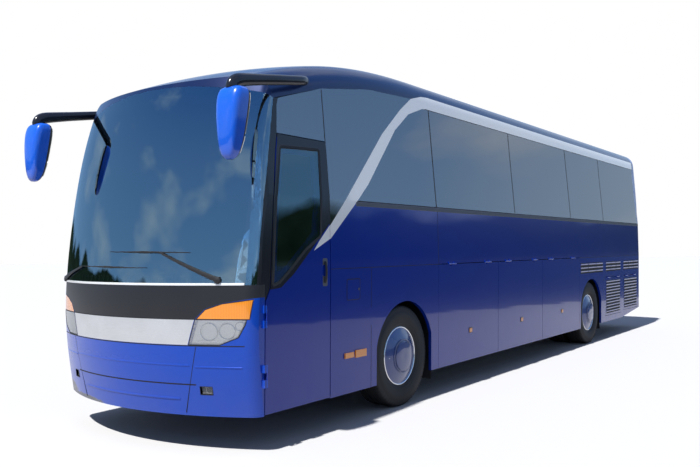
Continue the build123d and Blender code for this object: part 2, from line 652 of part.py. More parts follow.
def lid_knuckle(yc, z_leaf, z_root):
    foot = box(TAIL_X + WALL, lid_x, yc - KNUCKLE / 2, yc + KNUCKLE / 2, z_leaf, z_root)
    leaf = box(lid_x - HINGE_LEAF / 2, lid_x + HINGE_LEAF / 2, yc - KNUCKLE / 2, yc + KNUCKLE / 2, lid_top, z_root)
    return barrel("y", (lid_x, yc, lid_top), KNUCKLE) + foot + leaf


for y in (-400.0, 400.0):
    lid += lid_knuckle(y, lid_top - FLAP_GAP, lid_top - 3 * FLAP_GAP)
    for way in (-1, 1):
        tail += lid_knuckle(y + way * (KNUCKLE + KNUCKLE_GAP), lid_top + FLAP_GAP, lid_top + 3 * FLAP_GAP)
put("engine_lid", lid)
put("rear_wall", tail)
put("rear_window", tail_glass)
put("tail_lamps", *lights)

# ---------------------------------------------------------------- wipers and mirrors
wiper_outer = front_form(-WIPER_LIFT, SKIRT_Z)
wiper_layer = wiper_outer - front_form(WIPER_T - WIPER_LIFT, SKIRT_Z)
wiper_layer &= box(along(1900), LENGTH / 2 + 100, -PLAN_OUT, PLAN_OUT, SCREEN_BASE - 40, 1800)


def bar(p, q, width):
    """Outline of a straight bar in Y and Z."""
    length = math.hypot(q[0] - p[0], q[1] - p[1])
    ny, nz = -(q[1] - p[1]) / length * width / 2, (q[0] - p[0]) / length * width / 2
    return ((p[0] + ny, p[1] + nz), (q[0] + ny, q[1] + nz), (q[0] - ny, q[1] - nz), (p[0] - ny, p[1] - nz))


wipers = []
for pivot, knee, tip_a, tip_b in WIPERS:
    outline = end_prism(bar(pivot, knee, 34)) + end_prism(bar(tip_a, tip_b, 22))
    blade = wiper_layer & outline
    boss = Pos(LENGTH / 2 - 300, pivot[0], pivot[1]) * Rot(0, 90, 0) * Cylinder(28, 1200)
    blade += (boss & wiper_outer) - front_outer
    wipers.append(blade)
put("wipers", *wipers)


def rod(p, q, r):
    """Round bar between two points with rounded ends."""
    a, b = Vector(*p), Vector(*q)
    plane = Plane(origin=a, z_dir=(b - a).normalized())
    return extrude(plane * Circle(r), amount=(b - a).length) + Pos(*p) * Sphere(r) + Pos(*q) * Sphere(r)


def mirror(side):
    """Arm from the roof's edge forward, with the head hung at its elbow."""
    points = [(x, side * y, z) for x, y, z in MIRROR_ARM]
    arm = rod(points[0], points[1], MIRROR_ARM_R)
    for p, q in zip(points[1:], points[2:]):
        arm += rod(p, q, MIRROR_ARM_R)
    arm -= front_outer
    face = make_face(Polyline([Vector(x, side * MIRROR_Y[0], z) for x, z in MIRROR_HEAD], close=True))
    head = extrude(face, amount=MIRROR_Y[1] - MIRROR_Y[0], dir=(0, side, 0))
    head = fillet(head.edges(), MIRROR_EDGE_R)
    return arm - head, head


mirrors = both(mirror)
put("mirror_arms", *(arm for arm, _ in mirrors))
put("mirror_heads", *(head for _, head in mirrors))

# ---------------------------------------------------------------- structure
def beams(table):
    """Box members, those off the middle on both sides, joined."""
    solid = None
    for x0, x1, y0, y1, z0, z1 in table:
        sides = (1,) if y0 < 0 else (1, -1)
        for side in sides:
            piece = box(x0, x1, side * y0, side * y1, z0, z1)
            solid = piece if solid is None else solid + piece
    return solid


put("underframe", beams(FRAME_BEAMS))
floor = [
    box(DECK_REAR, DECK_FRONT, -PLAN_OUT, PLAN_OUT, DECK_Z - DECK_T, DECK_Z),
    box(DECK_FRONT - DECK_T, DECK_FRONT, -PLAN_OUT, PLAN_OUT, CAB_Z - DECK_T, DECK_Z - DECK_T - PANEL_GAP),
    box(DECK_FRONT + PANEL_GAP, DOOR_REAR - PANEL_GAP, -PLAN_OUT, PLAN_OUT, CAB_Z - DECK_T, CAB_Z),
    box(DOOR_REAR, CAB_FRONT, -STEP_Y[0], PLAN_OUT, CAB_Z - DECK_T, CAB_Z),
]
for low, high, z in zip(STEP_Y[1:], STEP_Y, STEP_TREADS):
    floor.append(box(DOOR_REAR, CORNER_SEAM, -low, -high + DECK_T, z - DECK_T, z))
for y, z0, z1 in zip(STEP_Y, STEP_TREADS, (CAB_Z, *STEP_TREADS)):
    floor.append(box(DOOR_REAR, CORNER_SEAM, -y, -y + DECK_T, z0 + PANEL_GAP, z1 - DECK_T - PANEL_GAP))
put("saloon_floor", *(panel & inside for panel in floor))
bay = [box(BAY_REAR, BAY_FRONT, -BAY_HALF, BAY_HALF, BAY_Z, BAY_Z + PLATE)]
for x in (BAY_REAR, BAY_FRONT - PLATE):
    bay.append(box(x, x + PLATE, -BAY_HALF, BAY_HALF, BAY_Z + PLATE + PANEL_GAP, DECK_Z - 2.5 * DECK_T))
put("luggage_bay", *bay)


def housing(x, front, back, y_in, side):
    """Plates of a wheel housing, open below and outwards."""
    top = WHEEL_BOX_Z
    under = top - PANEL_GAP
    inner = side * (y_in + PLATE + PANEL_GAP)
    out = side * PLAN_OUT
    plates = (
        box(x - back, x + front, side * y_in, out, top, top + PLATE),
        box(x + front - PLATE, x + front, inner, out, SKIRT_Z + 100, under),
        box(x - back, x - back + PLATE, inner, out, SKIRT_Z + 100, under),
        box(x - back, x + front, side * y_in, side * (y_in + PLATE), HOUSING_LOW, under),
    )
    return [plate & inside for plate in plates]


housings = []
for side in (1, -1):
    housings += housing(FRONT_AXLE_X, *BOX_FRONT, side)
    housings += housing(REAR_AXLE_X, *BOX_REAR, side)
put("wheel_housings", *housings)
flaps = []
for x in (FRONT_AXLE_X - BOX_FRONT[1] + PLATE, REAR_AXLE_X - BOX_REAR[1] + PLATE):
    for side in (1, -1):
        flaps.append(box(x, x + 8, side * 930, side * (SKIRT_HALF - WALL - 12), 190, 700))
put("mudflaps", *flaps)

# ---------------------------------------------------------------- running gear
beam = box(FRONT_AXLE_X - 60, FRONT_AXLE_X + 60, -KINGPIN_Y, KINGPIN_Y, 455, 545)
for side in (1, -1):
    beam += Pos(FRONT_AXLE_X, side * KINGPIN_Y, 522) * Cylinder(KINGPIN_EYE_R, EYE_HEIGHT)
for side in (1, -1):
    beam -= Pos(FRONT_AXLE_X, side * KINGPIN_Y, 522) * Cylinder(KINGPIN_R + BEARING_GAP, EYE_HEIGHT + 10)
put("front_axle", beam)


def steering_knuckle(side):
    ear_z = EYE_HEIGHT / 2 + BEARING_GAP
    y = side * KINGPIN_Y
    body = Pos(FRONT_AXLE_X, y, TYRE_R) * Cylinder(KINGPIN_R, EYE_HEIGHT + 2 * EAR)
    web = side * (KINGPIN_Y + KINGPIN_EYE_R + 6)
    end = side * (TYRE_Y - HUB_IN - 6)
    for way in (1, -1):
        z0, z1 = TYRE_R + way * ear_z, TYRE_R + way * (ear_z + EAR)
        body += Pos(FRONT_AXLE_X, y, (z0 + z1) / 2) * Cylinder(KINGPIN_EYE_R, EAR)
        body += box(FRONT_AXLE_X - 50, FRONT_AXLE_X + 50, y, end, z0, z1)
    body += box(FRONT_AXLE_X - 50, FRONT_AXLE_X + 50, web, end, TYRE_R - ear_z - EAR, TYRE_R + ear_z + EAR)
    reach = TYRE_Y + HUB_OUT - 5 - KINGPIN_Y - KINGPIN_EYE_R - 6
    body += Pos(FRONT_AXLE_X, web + side * reach / 2, TYRE_R) * Rot(90, 0, 0) * Cylinder(SPINDLE_R, reach)
    return body


put("knuckle_left", steering_knuckle(1))
put("knuckle_right", steering_knuckle(-1))

tube = Pos(REAR_AXLE_X, 0, TYRE_R) * Rot(90, 0, 0) * Cylinder(100, 2 * TUBE_HALF)
tube += Pos(REAR_AXLE_X, 0, TYRE_R) * Rot(90, 0, 0) * Cylinder(SPINDLE_R, 2 * (TYRE_Y + HUB_OUT - 5))
tube += Pos(REAR_AXLE_X, 0, TYRE_R) * Sphere(205)
shaft = REAR_AXLE_X - ENGINE_FRONT
tube += Pos(REAR_AXLE_X - shaft / 2, 0, TYRE_R) * Rot(0, 90, 0) * Cylinder(55, shaft)
for side in (1, -1):
    tube += box(REAR_AXLE_X - 430, REAR_AXLE_X + 430, side * 440, side * 520, 470, SPRING_LOW_REAR)
put("rear_axle", tube)
springs = []
for side in (1, -1):
    tall = RAIL_Z - 545
    springs.append(Pos(FRONT_AXLE_X, side * 400, 545 + tall / 2) * Cylinder(95, tall))
    for way in (1, -1):
        tall = RAIL_Z - SPRING_LOW_REAR
        at = Pos(REAR_AXLE_X + way * 330, side * 470, SPRING_LOW_REAR + tall / 2)
        springs.append(at * Cylinder(95, tall))
put("air_springs", *springs)
engine = box(ENGINE_REAR, ENGINE_FRONT, -ENGINE_HALF, ENGINE_HALF, ENGINE_LOW, ENGINE_TOP)
for x in (ENGINE_REAR + 230, ENGINE_FRONT - 250):
    engine += box(x, x + 120, -RAIL_Y[1], RAIL_Y[1], RAIL_TOP, RAIL_TOP + 30)
put("engine", engine)


def tyre_solid(side, offset):
    """Tyre revolved about its axle: bead, wall, shoulder and tread."""
    h = TYRE_W / 2
    mid = side * (TYRE_Y - offset)

    def at(y, r):
        return Vector(0, mid + side * y, r)

    bead_y, lip_y, tread_y = FLANGE_T - BEARING_GAP, FLANGE_T + 12, h - 30
    seat_r, lip_r = RIM_R + BEARING_GAP, FLANGE_R + BEARING_GAP
    edges = [
        Line(at(-bead_y, seat_r), at(bead_y, seat_r)),
        Line(at(bead_y, seat_r), at(bead_y, lip_r)),
        Line(at(bead_y, lip_r), at(lip_y, lip_r)),
        ThreePointArc(at(lip_y, lip_r), at(h, 410), at(h - 12, TYRE_R - 22)),
        Line(at(h - 12, TYRE_R - 22), at(tread_y, TYRE_R)),
        Line(at(tread_y, TYRE_R), at(-tread_y, TYRE_R)),
        Line(at(-tread_y, TYRE_R), at(12 - h, TYRE_R - 22)),
        ThreePointArc(at(12 - h, TYRE_R - 22), at(-h, 410), at(-lip_y, lip_r)),
        Line(at(-lip_y, lip_r), at(-bead_y, lip_r)),
        Line(at(-bead_y, lip_r), at(-bead_y, seat_r)),
    ]
    return revolve(make_face(Wire(edges)), Axis.Y)


def rim_solid(side, twin):
    """Rim with hub, disc and domed cover, revolved about the axle."""
    bore = SPINDLE_R + BEARING_GAP
    cover = COVER_Y - TYRE_Y

    def at(t, r):
        return Vector(0, side * (TYRE_Y + t), r)

    hub_in = -(TWIN_PITCH - 75) if twin else -HUB_IN
    lip = FLANGE_T + 9
    corners = [
        (lip, 286), (lip, FLANGE_R), (FLANGE_T, FLANGE_R), (FLANGE_T, RIM_R), (-FLANGE_T, RIM_R),
        (-FLANGE_T, FLANGE_R), (-lip, FLANGE_R), (-lip, 280), (50, 280),
        (50, 130), (hub_in, 130), (hub_in, bore), (HUB_OUT, bore), (HUB_OUT, 118), (70, 130), (70, 280), (104, 280),
    ]
    edges = [Line(at(cover, 0), at(cover, 60)), ThreePointArc(at(cover, 60), at(cover - 14, 170), at(*corners[0]))]
    edges += [Line(at(*p), at(*q)) for p, q in zip(corners, corners[1:])]
    edges.append(ThreePointArc(at(*corners[-1]), at(cover - 24, 165), at(cover - 10, 60)))
    edges.append(Line(at(cover - 10, 60), at(cover - 10, 0)))
    edges.append(Line(at(cover - 10, 0), at(cover, 0)))
    solid = revolve(make_face(Wire(edges)), Axis.Y)
    if twin:
        t = -TWIN_PITCH
        inner_corners = [
            (t + lip, 280), (t + lip, FLANGE_R), (t + FLANGE_T, FLANGE_R), (t + FLANGE_T, RIM_R),
            (t - FLANGE_T, RIM_R), (t - FLANGE_T, FLANGE_R), (t - lip, FLANGE_R), (t - lip, 280), (t + 90, 280),
            (t + 90, 125), (t + 105, 125), (t + 105, 280),
        ]
        solid += revolve(make_face(Polyline([at(*p) for p in inner_corners], close=True)), Axis.Y)
    return solid


for name, x, side, twin in (
    ("front_left", FRONT_AXLE_X, 1, False),
    ("front_right", FRONT_AXLE_X, -1, False),
    ("rear_left", REAR_AXLE_X, 1, True),
    ("rear_right", REAR_AXLE_X, -1, True),
):
    place = Pos(x, 0, TYRE_R)
    put(f"tyre_{name}", *(place * tyre_solid(side, off) for off in ((0.0, TWIN_PITCH) if twin else (0.0,))))
    put(f"rim_{name}", place * rim_solid(side, twin))

# ---------------------------------------------------------------- inside
def across(outline, x, y0, y1, floor_z):
    """Prism of an outline in X and Z, drawn from y0 to y1."""
    face = make_face(Polyline([Vector(x + dx, y0, floor_z + dz) for dx, dz in outline], close=True))
    return extrude(face, amount=abs(y1 - y0), dir=(0, 1 if y1 > y0 else -1, 0))


cushions, backs, frames = [], [], []
for i in range(SEAT_ROWS):
    x = SEAT_FIRST_X - i * SEAT_PITCH
    for side in (1, -1):
        for y0, y1 in (SEAT_Y[:2], SEAT_Y[2:]):
            cushions.append(across(CUSHION, x, side * y0, side * y1, DECK_Z))
            backs.append(across(BACKREST, x, side * y0, side * y1, DECK_Z))
        frames.append(across(SEAT_FOOT, x, side * (SEAT_Y[0] + FOOT_IN), side * (SEAT_Y[3] - FOOT_IN), DECK_Z))
cushions.append(across(CUSHION, DRIVER_X, DRIVER_Y - 240, DRIVER_Y + 240, CAB_Z))
backs.append(across(BACKREST, DRIVER_X, DRIVER_Y - 240, DRIVER_Y + 240, CAB_Z))
frames.append(across(SEAT_FOOT, DRIVER_X, DRIVER_Y - FOOT_IN, DRIVER_Y + FOOT_IN, CAB_Z))
put("seat_cushions", *cushions)
put("seat_backs", *backs)
put("seat_frames", *frames)
dash = side_prism(DASH) & front_inside
wheel_plane = Plane(origin=WHEEL_AT, z_dir=(-math.sin(WHEEL_TILT), 0, math.cos(WHEEL_TILT)))
foot = Vector(*WHEEL_AT) + wheel_plane.z_dir * -COLUMN
dash += extrude(Plane(origin=foot, z_dir=wheel_plane.z_dir) * Circle(35), amount=COLUMN - 30)
put("dashboard", dash)
ring = wheel_plane * Torus(WHEEL_R, 16)
ring += wheel_plane * Pos(0, 0, KNUCKLE_GAP - 23) * Cylinder(50, 14)
for turn in (0, 120, 240):
    ring += wheel_plane * Rot(0, 0, turn) * Pos(WHEEL_R / 2, 0, -12) * Rot(0, -6, 0) * Box(WHEEL_R, 28, 12)
put("steering_wheel", ring)
racks = []
for side in (1, -1):
    face = make_face(Polyline([Vector(DECK_REAR + 200, side * y, z) for y, z in RACK], close=True))
    racks.append(extrude(face, amount=RACK_FRONT - DECK_REAR - 200, dir=(1, 0, 0)) & inside)
put("luggage_racks", *racks)

os.makedirs("parts", exist_ok=True)
for name, shape in parts.items():
    export_step(shape, f"parts/{name}.step")
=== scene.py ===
"""Looks of a two-axle touring coach, built round its packed construction model.

Frame: X forward, Y to the left, Z up, in metres, origin on the ground below the middle.
Every sub-assembly is a class that makes its pieces and gives each one a body and a finish.
"""

from __future__ import annotations

import logging
import math
from dataclasses import dataclass, field
from enum import Enum
from functools import lru_cache

import bmesh
import bpy
import numpy as np
from mathutils import Matrix, Vector

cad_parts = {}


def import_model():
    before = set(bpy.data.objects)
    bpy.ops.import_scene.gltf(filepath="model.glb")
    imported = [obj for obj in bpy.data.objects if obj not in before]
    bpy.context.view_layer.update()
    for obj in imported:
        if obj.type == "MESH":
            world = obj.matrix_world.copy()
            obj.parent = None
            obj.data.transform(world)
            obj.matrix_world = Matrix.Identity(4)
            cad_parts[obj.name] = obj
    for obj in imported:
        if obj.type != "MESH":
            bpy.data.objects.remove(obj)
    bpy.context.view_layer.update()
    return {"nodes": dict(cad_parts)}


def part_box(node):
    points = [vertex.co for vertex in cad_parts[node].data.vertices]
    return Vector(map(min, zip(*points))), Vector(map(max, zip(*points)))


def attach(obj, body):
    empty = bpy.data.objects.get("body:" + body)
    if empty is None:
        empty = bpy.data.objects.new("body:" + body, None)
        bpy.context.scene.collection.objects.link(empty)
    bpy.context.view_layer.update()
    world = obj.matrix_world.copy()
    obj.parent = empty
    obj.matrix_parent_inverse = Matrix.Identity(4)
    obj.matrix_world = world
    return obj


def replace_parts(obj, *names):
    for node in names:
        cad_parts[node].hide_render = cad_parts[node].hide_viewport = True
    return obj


LOG = logging.getLogger("coach")

# ---------------------------------------------------------------- shared sizes, in metres
FRONT_AXLE = 3.34
REAR_AXLE = -2.74
NOSE_X = 5.96
TAIL_X = -5.987
TAIL_R = 6.0
REAR_SEAM = FRONT_AXLE - 9.1
DOOR_REAR = FRONT_AXLE + 1.284
WAIST_Z = 1.46
BELT_Z = 2.095
GLASS_TOP = 3.2
STRIPE_TOP = 3.345
AXLE_Z = 0.522
TYRE_Y = 1.075
TWIN_PITCH = 0.335
DECK_Z = 1.34
CAB_Z = 0.9
SEAT_ROWS = 12
SEAT_PITCH = 0.79
SEAT_FIRST_X = FRONT_AXLE + 0.1
DRIVER_X = FRONT_AXLE + 1.13
DRIVER_Y = 0.76
WHEEL_AT = (FRONT_AXLE + 1.76, DRIVER_Y, 1.58)
WHEEL_TILT = math.radians(28)
ROOT = "coach"
SIDES = (("left", 1), ("right", -1))
PANE_SEAMS = tuple(FRONT_AXLE + x for x in (-0.7, -2.89, -5.11, -6.82))


# ---------------------------------------------------------------- finishes
class Pattern(Enum):
    """Fine structure of a finish."""

    FLAKE = "flake"
    GRAIN = "grain"
    BRUSHED = "brushed"
    WEAVE = "weave"
    RIBBED = "ribbed"
    MOTTLED = "mottled"


class NodeGraph:
    """Short calls for adding and linking nodes in one tree."""

    def __init__(self, tree: bpy.types.NodeTree) -> None:
        self.tree = tree

    def add(self, kind: str, inputs: dict | None = None, **settings):
        """Add a node.

        Args:
            kind: Node type without its leading "ShaderNode".
            inputs: Socket name or number to a value or to a socket to link.
            settings: Properties of the node.

        Returns:
            The node.
        """
        node = self.tree.nodes.new("ShaderNode" + kind)
        for key, value in settings.items():
            setattr(node, key, value)
        for key, value in (inputs or {}).items():
            if isinstance(value, bpy.types.NodeSocket):
                self.tree.links.new(value, node.inputs[key])
            else:
                node.inputs[key].default_value = value
        return node

    def math(self, operation: str, a, b=0.0, clamp: bool = False):
        """Result socket of a math node."""
        return self.add("Math", {0: a, 1: b}, operation=operation, use_clamp=clamp).outputs[0]

    def span(self, value, low: float, high: float):
        """Result socket: 0 at low, 1 at high, clamped between."""
        return self.add("MapRange", {"Value": value, "From Min": low, "From Max": high}).outputs[0]

    def noise(self, vector, scale: float, detail: float = 3.0):
        """Result socket of a noise texture."""
        return self.add("TexNoise", {"Vector": vector, "Scale": scale, "Detail": detail}).outputs[0]

    def stretch(self, vector, factors: tuple[float, float, float]):
        """Vector socket multiplied by three factors."""
        return self.add("VectorMath", {0: vector, 1: factors}, operation="MULTIPLY").outputs[0]

    def mix(self, share, a, b):
        """Colour socket between a and b."""
        node = self.add("Mix", data_type="RGBA")
        for socket, value in ((node.inputs[0], share), (node.inputs[6], a), (node.inputs[7], b)):
            if isinstance(value, bpy.types.NodeSocket):
                self.tree.links.new(value, socket)
            else:
                socket.default_value = value
        return node.outputs[2]


def new_group(name: str, inputs: tuple[tuple[str, str, float], ...], outputs: tuple[tuple[str, str], ...]):
    """Empty node group with its interface.

    Args:
        name: Name of the group.
        inputs: Name, socket type and value of each input.
        outputs: Name and socket type of each output.

    Returns:
        The group, its graph, its input node and its output node.
    """
    tree = bpy.data.node_groups.new(name, "ShaderNodeTree")
    for label, kind, value in inputs:
        socket = tree.interface.new_socket(name=label, in_out="INPUT", socket_type=kind)
        if kind == "NodeSocketFloat":
            socket.default_value = value
    for label, kind in outputs:
        tree.interface.new_socket(name=label, in_out="OUTPUT", socket_type=kind)
    graph = NodeGraph(tree)
    return tree, graph, tree.nodes.new("NodeGroupInput"), tree.nodes.new("NodeGroupOutput")


@lru_cache(maxsize=None)
def pattern_group(pattern: Pattern) -> bpy.types.NodeTree:
    """Node group for a fine structure.

    It puts out Tone, a value round 0.5 that lightens and darkens, and Normal.
    """
    inputs = (
        ("Vector", "NodeSocketVector", 0.0), ("Scale", "NodeSocketFloat", 30.0),
        ("Bump", "NodeSocketFloat", 0.1),
    )
    outputs = (("Tone", "NodeSocketFloat"), ("Normal", "NodeSocketVector"))
    tree, g, source, result = new_group(f"pattern_{pattern.value}", inputs, outputs)
    at, scale, bump = (source.outputs[name] for name in ("Vector", "Scale", "Bump"))
    if pattern is Pattern.FLAKE:
        height = g.noise(at, 9.0, 1.0)
        cells = g.add("TexVoronoi", {"Vector": at, "Scale": scale}).outputs["Color"]
        tone = g.add("SeparateColor", {0: cells}).outputs[0]
    elif pattern is Pattern.BRUSHED:
        height = g.noise(g.stretch(at, (1.0, 0.02, 1.0)), scale, 6.0)
        tone = g.math("MULTIPLY_ADD", height, 0.6)
        g.tree.links.new(g.noise(at, 2.2, 4.0), tone.node.inputs[2])
        tone = g.math("SUBTRACT", tone, 0.3)
    elif pattern is Pattern.WEAVE:
        warp = g.add("TexWave", {"Vector": at, "Scale": scale}, bands_direction="Y").outputs["Fac"]
        weft = g.add("TexWave", {"Vector": at, "Scale": scale}, bands_direction="Z").outputs["Fac"]
        height = g.math("MULTIPLY", warp, weft)
        figure = g.add("TexVoronoi", {"Vector": at, "Scale": 38.0}, feature="DISTANCE_TO_EDGE").outputs[0]
        tone = g.math("MULTIPLY_ADD", height, 0.3)
        g.tree.links.new(g.span(figure, 0.02, 0.06), tone.node.inputs[2])
    elif pattern is Pattern.RIBBED:
        height = g.add(
            "TexWave", {"Vector": at, "Scale": scale, "Detail": 0.0}, bands_direction="Y",
        ).outputs["Fac"]
        tone = g.math("MULTIPLY_ADD", height, 0.5)
        tone.node.inputs[2].default_value = 0.25
    elif pattern is Pattern.MOTTLED:
        height = g.noise(at, scale, 8.0)
        tone = g.noise(at, 7.0, 5.0)
    else:
        height = g.noise(at, scale, 6.0)
        tone = g.noise(at, 5.0, 4.0)
    normal = g.add("Bump", {"Strength": bump, "Distance": 0.002, "Height": height}).outputs[0]
    g.tree.links.new(tone, result.inputs["Tone"])
    g.tree.links.new(normal, result.inputs["Normal"])
    return tree


@lru_cache(maxsize=None)
def dust_and_reflection_group() -> bpy.types.NodeTree:
    """Node group for road dust, and for painted reflection of the ground low on the blue paints.

    Mask is full at the ground and fades out at the height High, broken up by noise drawn out upwards.
    """
    inputs = (("Vector", "NodeSocketVector", 0.0), ("High", "NodeSocketFloat", 1.0))
    tree, g, source, result = new_group("road_dust_and_ground_reflection", inputs, (("Mask", "NodeSocketFloat"),))
    at = source.outputs["Vector"]
    height = g.add("SeparateXYZ", {0: at}).outputs[2]
    fall = g.math("SUBTRACT", 1.0, g.math("DIVIDE", height, source.outputs["High"]), clamp=True)
    streaks = g.noise(g.stretch(at, (1.3, 1.3, 0.7)), 2.0, 6.0)
    mask = g.math("MULTIPLY", g.math("POWER", fall, 1.6), g.span(streaks, 0.25, 0.75), clamp=True)
    g.tree.links.new(mask, result.inputs["Mask"])
    return tree


@lru_cache(maxsize=None)
def patch_group() -> bpy.types.NodeTree:
    """Node group for a worn patch: a soft ellipse in Y and Z with edges torn by noise."""
    inputs = (
        ("Vector", "NodeSocketVector", 0.0), ("Y", "NodeSocketFloat", 0.0), ("Z", "NodeSocketFloat", 0.0),
        ("Half Y", "NodeSocketFloat", 0.3), ("Half Z", "NodeSocketFloat", 0.05),
    )
    tree, g, source, result = new_group("worn_patch", inputs, (("Mask", "NodeSocketFloat"),))
    at = source.outputs["Vector"]
    parts = g.add("SeparateXYZ", {0: at})
    reach = None
    for axis, centre, half in ((1, "Y", "Half Y"), (2, "Z", "Half Z")):
        offset = g.math("SUBTRACT", parts.outputs[axis], source.outputs[centre])
        share = g.math("POWER", g.math("ABSOLUTE", g.math("DIVIDE", offset, source.outputs[half])), 2.0)
        reach = share if reach is None else g.math("ADD", reach, share)
    torn = g.math("ADD", reach, g.math("MULTIPLY", g.noise(at, 11.0, 8.0), 2.2))
    mask = g.math("SUBTRACT", 1.0, g.span(torn, 1.7, 2.2))
    g.tree.links.new(mask, result.inputs["Mask"])
    return tree


@dataclass(frozen=True)
class Finish:
    """A painted, moulded, cast or woven surface.

    Args:
        name: Material name.
        colour: Linear base colour.
        rough: Roughness.
        metal: Metallic share.
        coat: Clear coat weight.
        variation: How far the tone moves the colour.
        pattern: Fine structure.
        scale: Scale of the fine structure.
        bump: Strength of its relief.
        dust_and_reflection: Share of road dust; on the blue paints, share of painted reflection of the
            ground.
        dust_and_reflection_high: Height at which the dust and the painted reflection have faded out.
        dust_and_reflection_colour: Linear colour of the dust, and on the blue paints of the painted
            reflection.
        sheen: Weight of the cloth's sheen.
        emission: Strength of a faint glow in the surface's own colour.
        tint: How far the reflections take the colour's hue.
        patches: Worn patches as (y, z, half y, half z).
    """

    name: str
    colour: tuple[float, float, float]
    rough: float = 0.5
    metal: float = 0.0
    coat: float = 0.0
    variation: float = 0.15
    pattern: Pattern = Pattern.GRAIN
    scale: float = 120.0
    bump: float = 0.1
    dust_and_reflection: float = 0.0
    dust_and_reflection_high: float = 1.0
    dust_and_reflection_colour: tuple[float, float, float] = (0.16, 0.15, 0.14)
    sheen: float = 0.0
    emission: float = 0.0
    tint: float = 0.0
    patches: tuple[tuple[float, float, float, float], ...] = ()

    def material(self) -> bpy.types.Material:
        """The material, made once."""
        found = bpy.data.materials.get(self.name)
        if found:
            return found
        made = bpy.data.materials.new(self.name)
        made.use_nodes = True
        made.node_tree.nodes.clear()
        self.fill(NodeGraph(made.node_tree))
        made.diffuse_color = (*self.colour, 1.0)
        return made

    def tone(self, g: NodeGraph):
        """Object coordinates, tone and normal sockets."""
        at = g.add("TexCoord").outputs["Object"]
        group = g.add("Group", node_tree=pattern_group(self.pattern))
        g.tree.links.new(at, group.inputs["Vector"])
        group.inputs["Scale"].default_value = self.scale
        group.inputs["Bump"].default_value = self.bump
        return at, group.outputs["Tone"], group.outputs["Normal"]

    def shades(self, g: NodeGraph, at, tone):
        """Colour and roughness: tone, wear, and dust, which on the blue paints is painted reflection."""
        dark = tuple(c * (1 - self.variation) for c in self.colour)
        light = tuple(min(1.0, c * (1 + self.variation)) for c in self.colour)
        colour = g.mix(tone, (*dark, 1.0), (*light, 1.0))
        rough = g.math("MULTIPLY_ADD", tone, self.rough * 0.25)
        rough.node.inputs[2].default_value = self.rough * 0.88
        # On the blue paints this mask is painted reflection of the pale ground; on the rest it is road dust.
        if self.dust_and_reflection:
            dust_and_reflection = g.add("Group", node_tree=dust_and_reflection_group())
            g.tree.links.new(at, dust_and_reflection.inputs["Vector"])
            dust_and_reflection.inputs["High"].default_value = self.dust_and_reflection_high
            share = g.math("MULTIPLY", dust_and_reflection.outputs[0], self.dust_and_reflection)
            colour = g.mix(share, colour, (*self.dust_and_reflection_colour, 1.0))
            rough = g.math("MULTIPLY_ADD", share, 0.5)
            rough.node.inputs[2].default_value = self.rough
        for y, z, half_y, half_z in self.patches:
            patch = g.add("Group", node_tree=patch_group())
            g.tree.links.new(at, patch.inputs["Vector"])
            for key, value in (("Y", y), ("Z", z), ("Half Y", half_y), ("Half Z", half_z)):
                patch.inputs[key].default_value = value
            grey = g.mix(g.noise(at, 23.0, 6.0), (0.05, 0.055, 0.07, 1.0), (0.3, 0.3, 0.3, 1.0))
            colour = g.mix(patch.outputs[0], colour, grey)
            rough = g.math("MAXIMUM", rough, g.math("MULTIPLY", patch.outputs[0], 0.7))
        return colour, rough

    def fill(self, g: NodeGraph) -> None:
        """Build the node tree round one Principled node."""
        at, tone, normal = self.tone(g)
        colour, rough = self.shades(g, at, tone)
        shader = g.add("BsdfPrincipled", {"Base Color": colour, "Roughness": rough, "Normal": normal})
        shader.inputs["Metallic"].default_value = self.metal
        shader.inputs["Coat Weight"].default_value = self.coat
        shader.inputs["Coat Roughness"].default_value = 0.03
        shader.inputs["Sheen Weight"].default_value = self.sheen
        peak = max(self.colour)
        hue = tuple(1 - self.tint * (1 - c / peak) for c in self.colour)
        shader.inputs["Specular Tint"].default_value = (*hue, 1.0)
        if self.emission:
            g.tree.links.new(colour, shader.inputs["Emission Color"])
            shader.inputs["Emission Strength"].default_value = self.emission
        self.finish_tree(g, shader)

    def finish_tree(self, g: NodeGraph, shader) -> None:
        """Link the shader to the output."""
        g.add("OutputMaterial", {"Surface": shader.outputs[0]})


@dataclass(frozen=True)
class GlassFinish(Finish):
    """Thin tinted glass: a mirror at glancing angles, otherwise let through by its alpha.

    Args:
        alpha: Share held back when looking straight through.
        ior: Refractive index that sets the reflection.
    """

    alpha: float = 0.3
    ior: float = 1.5

    def finish_tree(self, g: NodeGraph, shader) -> None:
        """Let the alpha rise with the Fresnel reflection."""
        mirror = g.add("Fresnel", {"IOR": self.ior}).outputs[0]
        alpha = g.math("MULTIPLY_ADD", mirror, 1.0 - self.alpha, clamp=True)
        alpha.node.inputs[2].default_value = self.alpha
        g.tree.links.new(alpha, shader.inputs["Alpha"])
        shader.inputs["IOR"].default_value = self.ior
        shader.inputs["Specular IOR Level"].default_value = 0.9
        super().finish_tree(g, shader)


